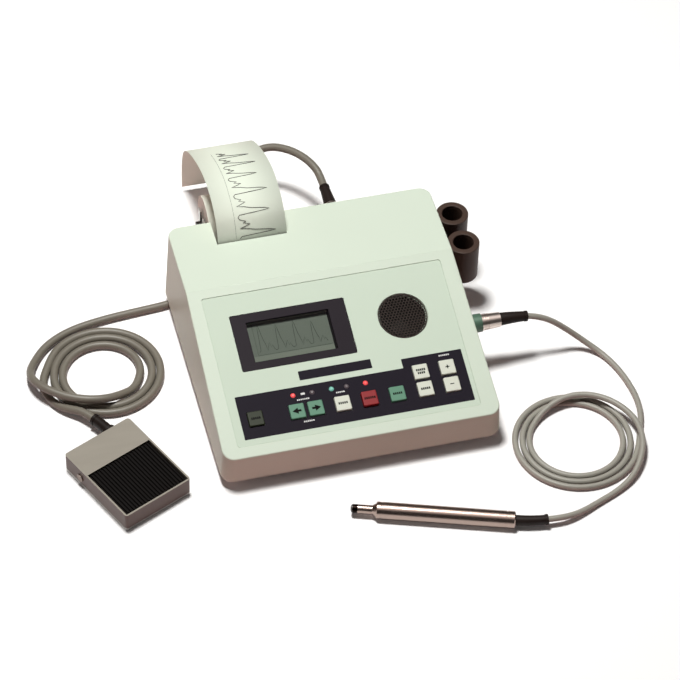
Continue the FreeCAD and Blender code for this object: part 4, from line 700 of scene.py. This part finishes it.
# %% [markdown]
# ## Marks on the panel and keys
# The keys and the field carry small white or black marks. Words are left out: a row of short dashes holds
# each word's place, and arrows, a plus and a minus say what the keys do. Each mark is a thin pad of ink,
# six hundredths of a millimetre thick and half sunk, and the marks on a key ride on the key so that they
# sink with it.

# %% Ink pads
ink_thickness = 0.00006
arrow_shaft = (3.0, 1.9)
arrow_shaft_back = 1.8
arrow_head_ahead = 0.9
arrow_head_radius = 0.0032


def settle(name, shape, material, body, tip=None):
    """Turn a bmesh into a finished piece that rides on a body."""
    if tip is not None:
        bmesh.ops.transform(shape, matrix=tip, verts=shape.verts)
    bmesh.ops.recalc_face_normals(shape, faces=shape.faces)
    mesh = bpy.data.meshes.new(name)
    shape.to_mesh(mesh)
    shape.free()
    mesh.materials.append(material)
    piece = bpy.data.objects.new(name, mesh)
    scene.collection.objects.link(piece)
    print(name, "faces", len(mesh.polygons))
    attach(piece, body)
    return piece


def ink_bar(shape, across, up, above, wide, tall):
    """One flat bar of ink, in panel millimetres."""
    verts = bmesh.ops.create_cube(shape, size=1 / millimetres)["verts"]
    bmesh.ops.scale(shape, vec=(wide, tall, ink_thickness * millimetres), verts=verts)
    bmesh.ops.translate(shape, vec=Vector((across, up, above)) / millimetres, verts=verts)


def ink_row(shape, across, up, above, count, pitch=1.6, wide=1.2, tall=2.0):
    """A row of short dashes in the place of a word."""
    for number in range(count):
        ink_bar(shape, across + pitch * (number - (count - 1) / 2), up, above, wide, tall)


def ink_arrow(shape, across, up, above, pointing):
    """An arrow that points left (-1) or right (1)."""
    ink_bar(shape, across - pointing * arrow_shaft_back, up, above, *arrow_shaft)
    head = bmesh.ops.create_cone(shape, cap_ends=True, segments=3, radius1=arrow_head_radius,
                                 radius2=arrow_head_radius, depth=ink_thickness)["verts"]
    turn = Matrix.Rotation(-pointing * math.pi / 2, 3, "Z")
    bmesh.ops.rotate(shape, cent=(0, 0, 0), matrix=turn, verts=head)
    tip = Vector((across + pointing * arrow_head_ahead, up, above))
    bmesh.ops.translate(shape, vec=tip / millimetres, verts=head)


black_ink = finish("black_ink", tone(9, 8, 8), roughness=0.6, clouds=0.2, gloss=0.05)
white_ink = finish("white_ink", tone(206, 204, 204), roughness=0.5, clouds=0.1)
print("ink is", ink_thickness * millimetres, "mm thick")

# %% White marks on the field
# Each word is given by its place across and up the panel, its number of dashes and their height
film_top = -0.4
small_pitch, small_wide = 1.5, 1.1
volume_across = 81.1
lamp_sign, lamp_sign_size = (-39.8, 47.4), (3.4, 1.8)
field_words = (
    (volume_across, 59.9, 6, 1.3), (-40.1, 22.8, 6, 1.3), (-40.6, 42.6, 7, 1.2), (-9.6, 43.2, 5, 1.2),
)
shape = bmesh.new()
for across, up, count, tall in field_words:
    ink_row(shape, across, up, film_top, count, small_pitch, small_wide, tall)
ink_bar(shape, *lamp_sign, film_top, *lamp_sign_size)
settle("panel_marks", shape, white_ink, "console", panel_frame)

# %% Marks on the keys
key_low, key_high = 32.4, 48.2
key_top, freeze_top = 1.5, 2.3
print_across = 58.8
feed_row_offset = 1.4
sign_length, sign_width = 3.4, 0.8
plus_arm, plus_arm_offset = 1.3, 1.05
key_marks = {
    "key_menu": (-82.0, key_low, key_top, 5), "key_probe": (-10.0, key_low, key_top, 5),
    "key_freeze": (12.2, key_low, freeze_top, 6), "key_scale": (35.4, key_low, key_top, 5),
    "key_print": (print_across, key_low, key_top, 5),
}
for key, (across, up, above, count) in key_marks.items():
    shape = bmesh.new()
    ink_row(shape, across, up, above, count)
    settle(key + "_mark", shape, black_ink, key, panel_frame)
for key, across, pointing in (("key_left", -47.8, -1), ("key_right", -32.3, 1)):
    shape = bmesh.new()
    ink_arrow(shape, across, key_low, key_top, pointing)
    settle(key + "_mark", shape, black_ink, key, panel_frame)
shape = bmesh.new()
ink_row(shape, print_across, key_high + feed_row_offset, key_top, 5)
ink_row(shape, print_across, key_high - feed_row_offset, key_top, 4)
settle("key_feed_mark", shape, black_ink, "key_feed", panel_frame)
for key, up, upright in (("key_volume_up", key_high, True), ("key_volume_down", key_low, False)):
    shape = bmesh.new()
    ink_bar(shape, volume_across, up, key_top, sign_length, sign_width)
    if upright:
        for offset in (plus_arm_offset, -plus_arm_offset):
            ink_bar(shape, volume_across, up + offset, key_top, sign_width, plus_arm)
    settle(key + "_mark", shape, black_ink, key, panel_frame)

# %% [markdown]
# ## Loudspeaker grille
# The loudspeaker speaks through a disc of perforated steel, painted dark brown. A honeycomb gives its close
# rows of holes: six-sided cells are laid side by side inside the disc, each is inset and loses its middle,
# and what is left gets a thickness. A plain rim closes the edge.

# %% Perforated disc
grille_reach = 20.6
cell_margin = 1.0
cell_pitch = 2.65
cell_corner = cell_pitch / math.sqrt(3) / millimetres
cell_rows = 9
cell_wall = 0.00032
cell_join = 0.00002
grille_thickness = 0.0007
row_pitch = cell_pitch * math.sqrt(3) / 2
shape = bmesh.new()
for row in range(-cell_rows, cell_rows + 1):
    for column in range(-cell_rows, cell_rows + 1):
        across = cell_pitch * (column + (row % 2) / 2)
        up = row_pitch * row
        if math.hypot(across, up) < grille_reach - cell_margin:
            cell = bmesh.ops.create_circle(shape, cap_ends=True, segments=6, radius=cell_corner)["verts"]
            bmesh.ops.translate(shape, vec=Vector((across, up, 0)) / millimetres, verts=cell)
holes = list(shape.faces)
bmesh.ops.inset_individual(shape, faces=holes, thickness=cell_wall, use_even_offset=True)
bmesh.ops.delete(shape, geom=holes, context="FACES_ONLY")
bmesh.ops.remove_doubles(shape, verts=shape.verts, dist=cell_join)
bmesh.ops.recalc_face_normals(shape, faces=shape.faces)
bmesh.ops.solidify(shape, geom=list(shape.faces), thickness=grille_thickness)
print("grille cells", len(holes), "faces", len(shape.faces))

# %% Rim of the disc
ring_steps = 72
rim_play = 0.0002
rim_share = 0.955
rim_depth = 0.0009
grille_middle = (0.0571, 0.1015)


def grow(shape, edges):
    """Extrude edges, and give back the new points and the new edges."""
    grown = bmesh.ops.extrude_edge_only(shape, edges=edges)["geom"]
    return ([item for item in grown if isinstance(item, bmesh.types.BMVert)],
            [item for item in grown if isinstance(item, bmesh.types.BMEdge)])


rim_reach = grille_reach / millimetres - rim_play
rim = bmesh.ops.create_circle(shape, segments=ring_steps, radius=rim_reach)["verts"]
edges = list({edge for vert in rim for edge in vert.link_edges})
for share, drop in ((rim_share, 0.0), (1.0, -rim_depth), (1 / rim_share, 0.0)):
    verts, edges = grow(shape, edges)
    bmesh.ops.scale(shape, vec=(share, share, 1), verts=verts)
    bmesh.ops.translate(shape, vec=(0, 0, drop), verts=verts)
first = list({edge for vert in rim for edge in vert.link_edges if edge.is_boundary})
bmesh.ops.bridge_loops(shape, edges=first + edges)
bmesh.ops.translate(shape, vec=(*grille_middle, -rim_depth), verts=shape.verts)
grille_paint = finish("grille_paint", tone(44, 32, 26), roughness=0.42, size=1800, depth=0.00002,
                      clouds=0.4, gloss=0.15)
grille = settle("grille_mesh", shape, grille_paint, "console", panel_frame)
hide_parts("speaker_grille")

# %% [markdown]
# ## Rims of the probe holders
# The two tubes on the right wall end in broad flat rims, which catch the light as two brown rings. Each rim
# is a short ring with four sides, drawn from one circle: up, inward, down and back to the start.

# %% Two flat rings
holder_places = ((0.173, 0.0783), (0.173, 0.0437))
rim_outer = 0.01356
rim_inner = 0.0086
rim_low = 0.0588
rim_high = 0.0662
rim_rounding = 0.0006
rounding_steps = 2
sharp_angle = 1.0
level_play = 1e-6
shape = bmesh.new()
for middle in holder_places:
    loop = bmesh.ops.create_circle(shape, segments=ring_steps, radius=rim_outer)["verts"]
    bmesh.ops.translate(shape, vec=(*middle, rim_low), verts=loop)
    first = list({edge for vert in loop for edge in vert.link_edges})
    edges = first
    for radius, height in ((rim_outer, rim_high), (rim_inner, rim_high), (rim_inner, rim_low)):
        verts, edges = grow(shape, edges)
        for vert in verts:
            outward = (vert.co.xy - Vector(middle)).normalized() * radius
            vert.co = (middle[0] + outward.x, middle[1] + outward.y, height)
    bmesh.ops.bridge_loops(shape, edges=first + edges)
bmesh.ops.recalc_face_normals(shape, faces=shape.faces)
top_edges = [edge for edge in shape.edges
             if all(abs(vert.co.z - rim_high) < level_play for vert in edge.verts)]
rounded = [edge for edge in top_edges if edge.calc_face_angle(0.0) > sharp_angle]
bmesh.ops.bevel(shape, geom=rounded, offset=rim_rounding, offset_type="OFFSET", affect="EDGES",
                segments=rounding_steps, profile=0.5, material=-1)
settle("probe_holder_rims", shape, holder_plastic, "console")
print("rounded edges", len(rounded))

# %% [markdown]
# ## Paper strip
# The printer's paper comes off the roll behind the case, passes round the platen and up out of the slot,
# curls over and hangs down behind. It is one flat strip, bent in one direction only, so its side view is
# drawn as a smooth NURBS line, and the line is drawn out sideways by the paper's width. A thin Solidify
# gives it both sides, and a small glow stands in for the light that comes through thin paper.

# %% Side view of the strip
paper_left = -0.0285
paper_width = 0.058
strip_route = [(paper_left, back, height) for back, height in (
    (0.1173, 0.0254), (0.0950, 0.0382), (0.0830, 0.0451), (0.0785, 0.0477), (0.0785, 0.0545),
    (0.0785, 0.0690), (0.0785, 0.0820), (0.0900, 0.1010), (0.1320, 0.1070), (0.2040, 0.0695),
    (0.2225, 0.0380), (0.2215, 0.0050),
)]
side_view = smooth_line("strip_side_view", strip_route)
side_mesh = bpy.data.meshes.new_from_object(side_view)
strip_line = [vert.co.copy() for vert in side_mesh.vertices]
bpy.data.objects.remove(side_view)

# %% The strip drawn out to its width
paper_tone = tone(207, 212, 199)
paper_glow = 0.2
paper_thickness = 0.00012
paper_finish = finish("strip_paper", paper_tone, roughness=0.75, size=2600, depth=0.00001, clouds=0.04,
                      gloss=0.1)
_, shader = shader_of(paper_finish)
shader.inputs["Emission Color"].default_value = paper_tone
shader.inputs["Emission Strength"].default_value = paper_glow
shape = bmesh.new()
shape.from_mesh(side_mesh)
far_verts, _ = grow(shape, list(shape.edges))
bmesh.ops.translate(shape, vec=(paper_width, 0, 0), verts=far_verts)
for face in shape.faces:
    face.smooth = True
strip = settle("paper_strip_sheet", shape, paper_finish, "console")
thick = strip.modifiers.new("thickness", "SOLIDIFY")
thick.thickness = paper_thickness
thick.offset = 0.0
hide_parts("paper_strip")

# %% [markdown]
# ## Traces
# The set draws the speed of blood over time: a steep peak for each beat, a fall with a notch and a low
# bump. The same beat, a little changed each time, makes the trace on the display and the one on the paper.
# Each trace is a thin line of ink, a poly curve with a small round section. On the paper it lies on the
# upper side, sunk only so far that it doesn't come through underneath.

# %% One beat, and a row of beats
beat = (
    (0.00, 0.05), (0.10, 0.10), (0.17, 0.82), (0.21, 1.00), (0.27, 0.86), (0.36, 0.46), (0.44, 0.30),
    (0.50, 0.07), (0.58, 0.22), (0.66, 0.34), (0.74, 0.16), (0.80, 0.24), (0.90, 0.08),
)
beat_heights = (1.0, 0.9, 0.96, 0.82, 0.92, 0.86)


def beats(count):
    """Shares along and above the base line for a number of beats, each of its own height."""
    return [((number + along) / count, height * beat_heights[number])
            for number in range(count) for along, height in beat]


# %% Trace on the display
screen_face = -0.00595
screen_start, screen_reach = 0.08, 0.88
screen_base, screen_rise = 0.20, 0.72
screen_corners = ((0.06, 0.94), (0.06, 0.16), (0.97, 0.16))
screen_trace_radius = 0.00017
screen_axis_radius = 0.00012
screen_ink = finish("screen_ink", tone(44, 49, 46), roughness=0.5, clouds=0.2, gloss=0.1)


def on_screen(across, up):
    """A point on the display, from shares of its width and height."""
    left, right, low, high = (value / millimetres for value in screen_box)
    place = Vector((left + (right - left) * across, low + (high - low) * up, screen_face))
    return panel_frame @ place


screen_trace = smooth_line("display_trace", [
    on_screen(screen_start + screen_reach * along, screen_base + screen_rise * height)
    for along, height in beats(4)], screen_trace_radius, "POLY")
screen_axis = smooth_line("display_axis", [on_screen(*corner) for corner in screen_corners],
                          screen_axis_radius, "POLY")
for line in (screen_trace, screen_axis):
    line.data.materials.append(screen_ink)
    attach(line, "console")

# %% Trace on the paper
slot_along = 0.074
trace_length = 0.112
ink_sink = 0.00003
paper_base, paper_rise = 0.30, 0.55
paper_axis_across = 0.27
paper_axis_steps = 40
trace_radius = 0.00027
axis_radius = 0.0001
paper_ink = finish("paper_ink", tone(58, 54, 50), roughness=0.6, clouds=0.3, gloss=0.1)


def on_paper(along, across, radius):
    """A point for a line of ink on the strip's upper side, from its length along and share of the width."""
    for near, far in zip(strip_line, strip_line[1:]):
        step = (far - near).length
        if along <= step:
            break
        along -= step
    place = near.lerp(far, along / step)
    course = (far - near).normalized()
    outward = Vector((0, -course.z, course.y)) * (radius - ink_sink)
    return place + Vector((paper_width * across, 0, 0)) + outward


paper_trace = smooth_line("paper_trace", [
    on_paper(slot_along + trace_length * along, paper_base + paper_rise * height, trace_radius)
    for along, height in beats(6)], trace_radius, "POLY")
paper_axis = smooth_line("paper_axis", [
    on_paper(slot_along + trace_length * number / paper_axis_steps, paper_axis_across, axis_radius)
    for number in range(paper_axis_steps + 1)], axis_radius, "POLY")
for line in (paper_trace, paper_axis):
    line.data.materials.append(paper_ink)
    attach(line, "console")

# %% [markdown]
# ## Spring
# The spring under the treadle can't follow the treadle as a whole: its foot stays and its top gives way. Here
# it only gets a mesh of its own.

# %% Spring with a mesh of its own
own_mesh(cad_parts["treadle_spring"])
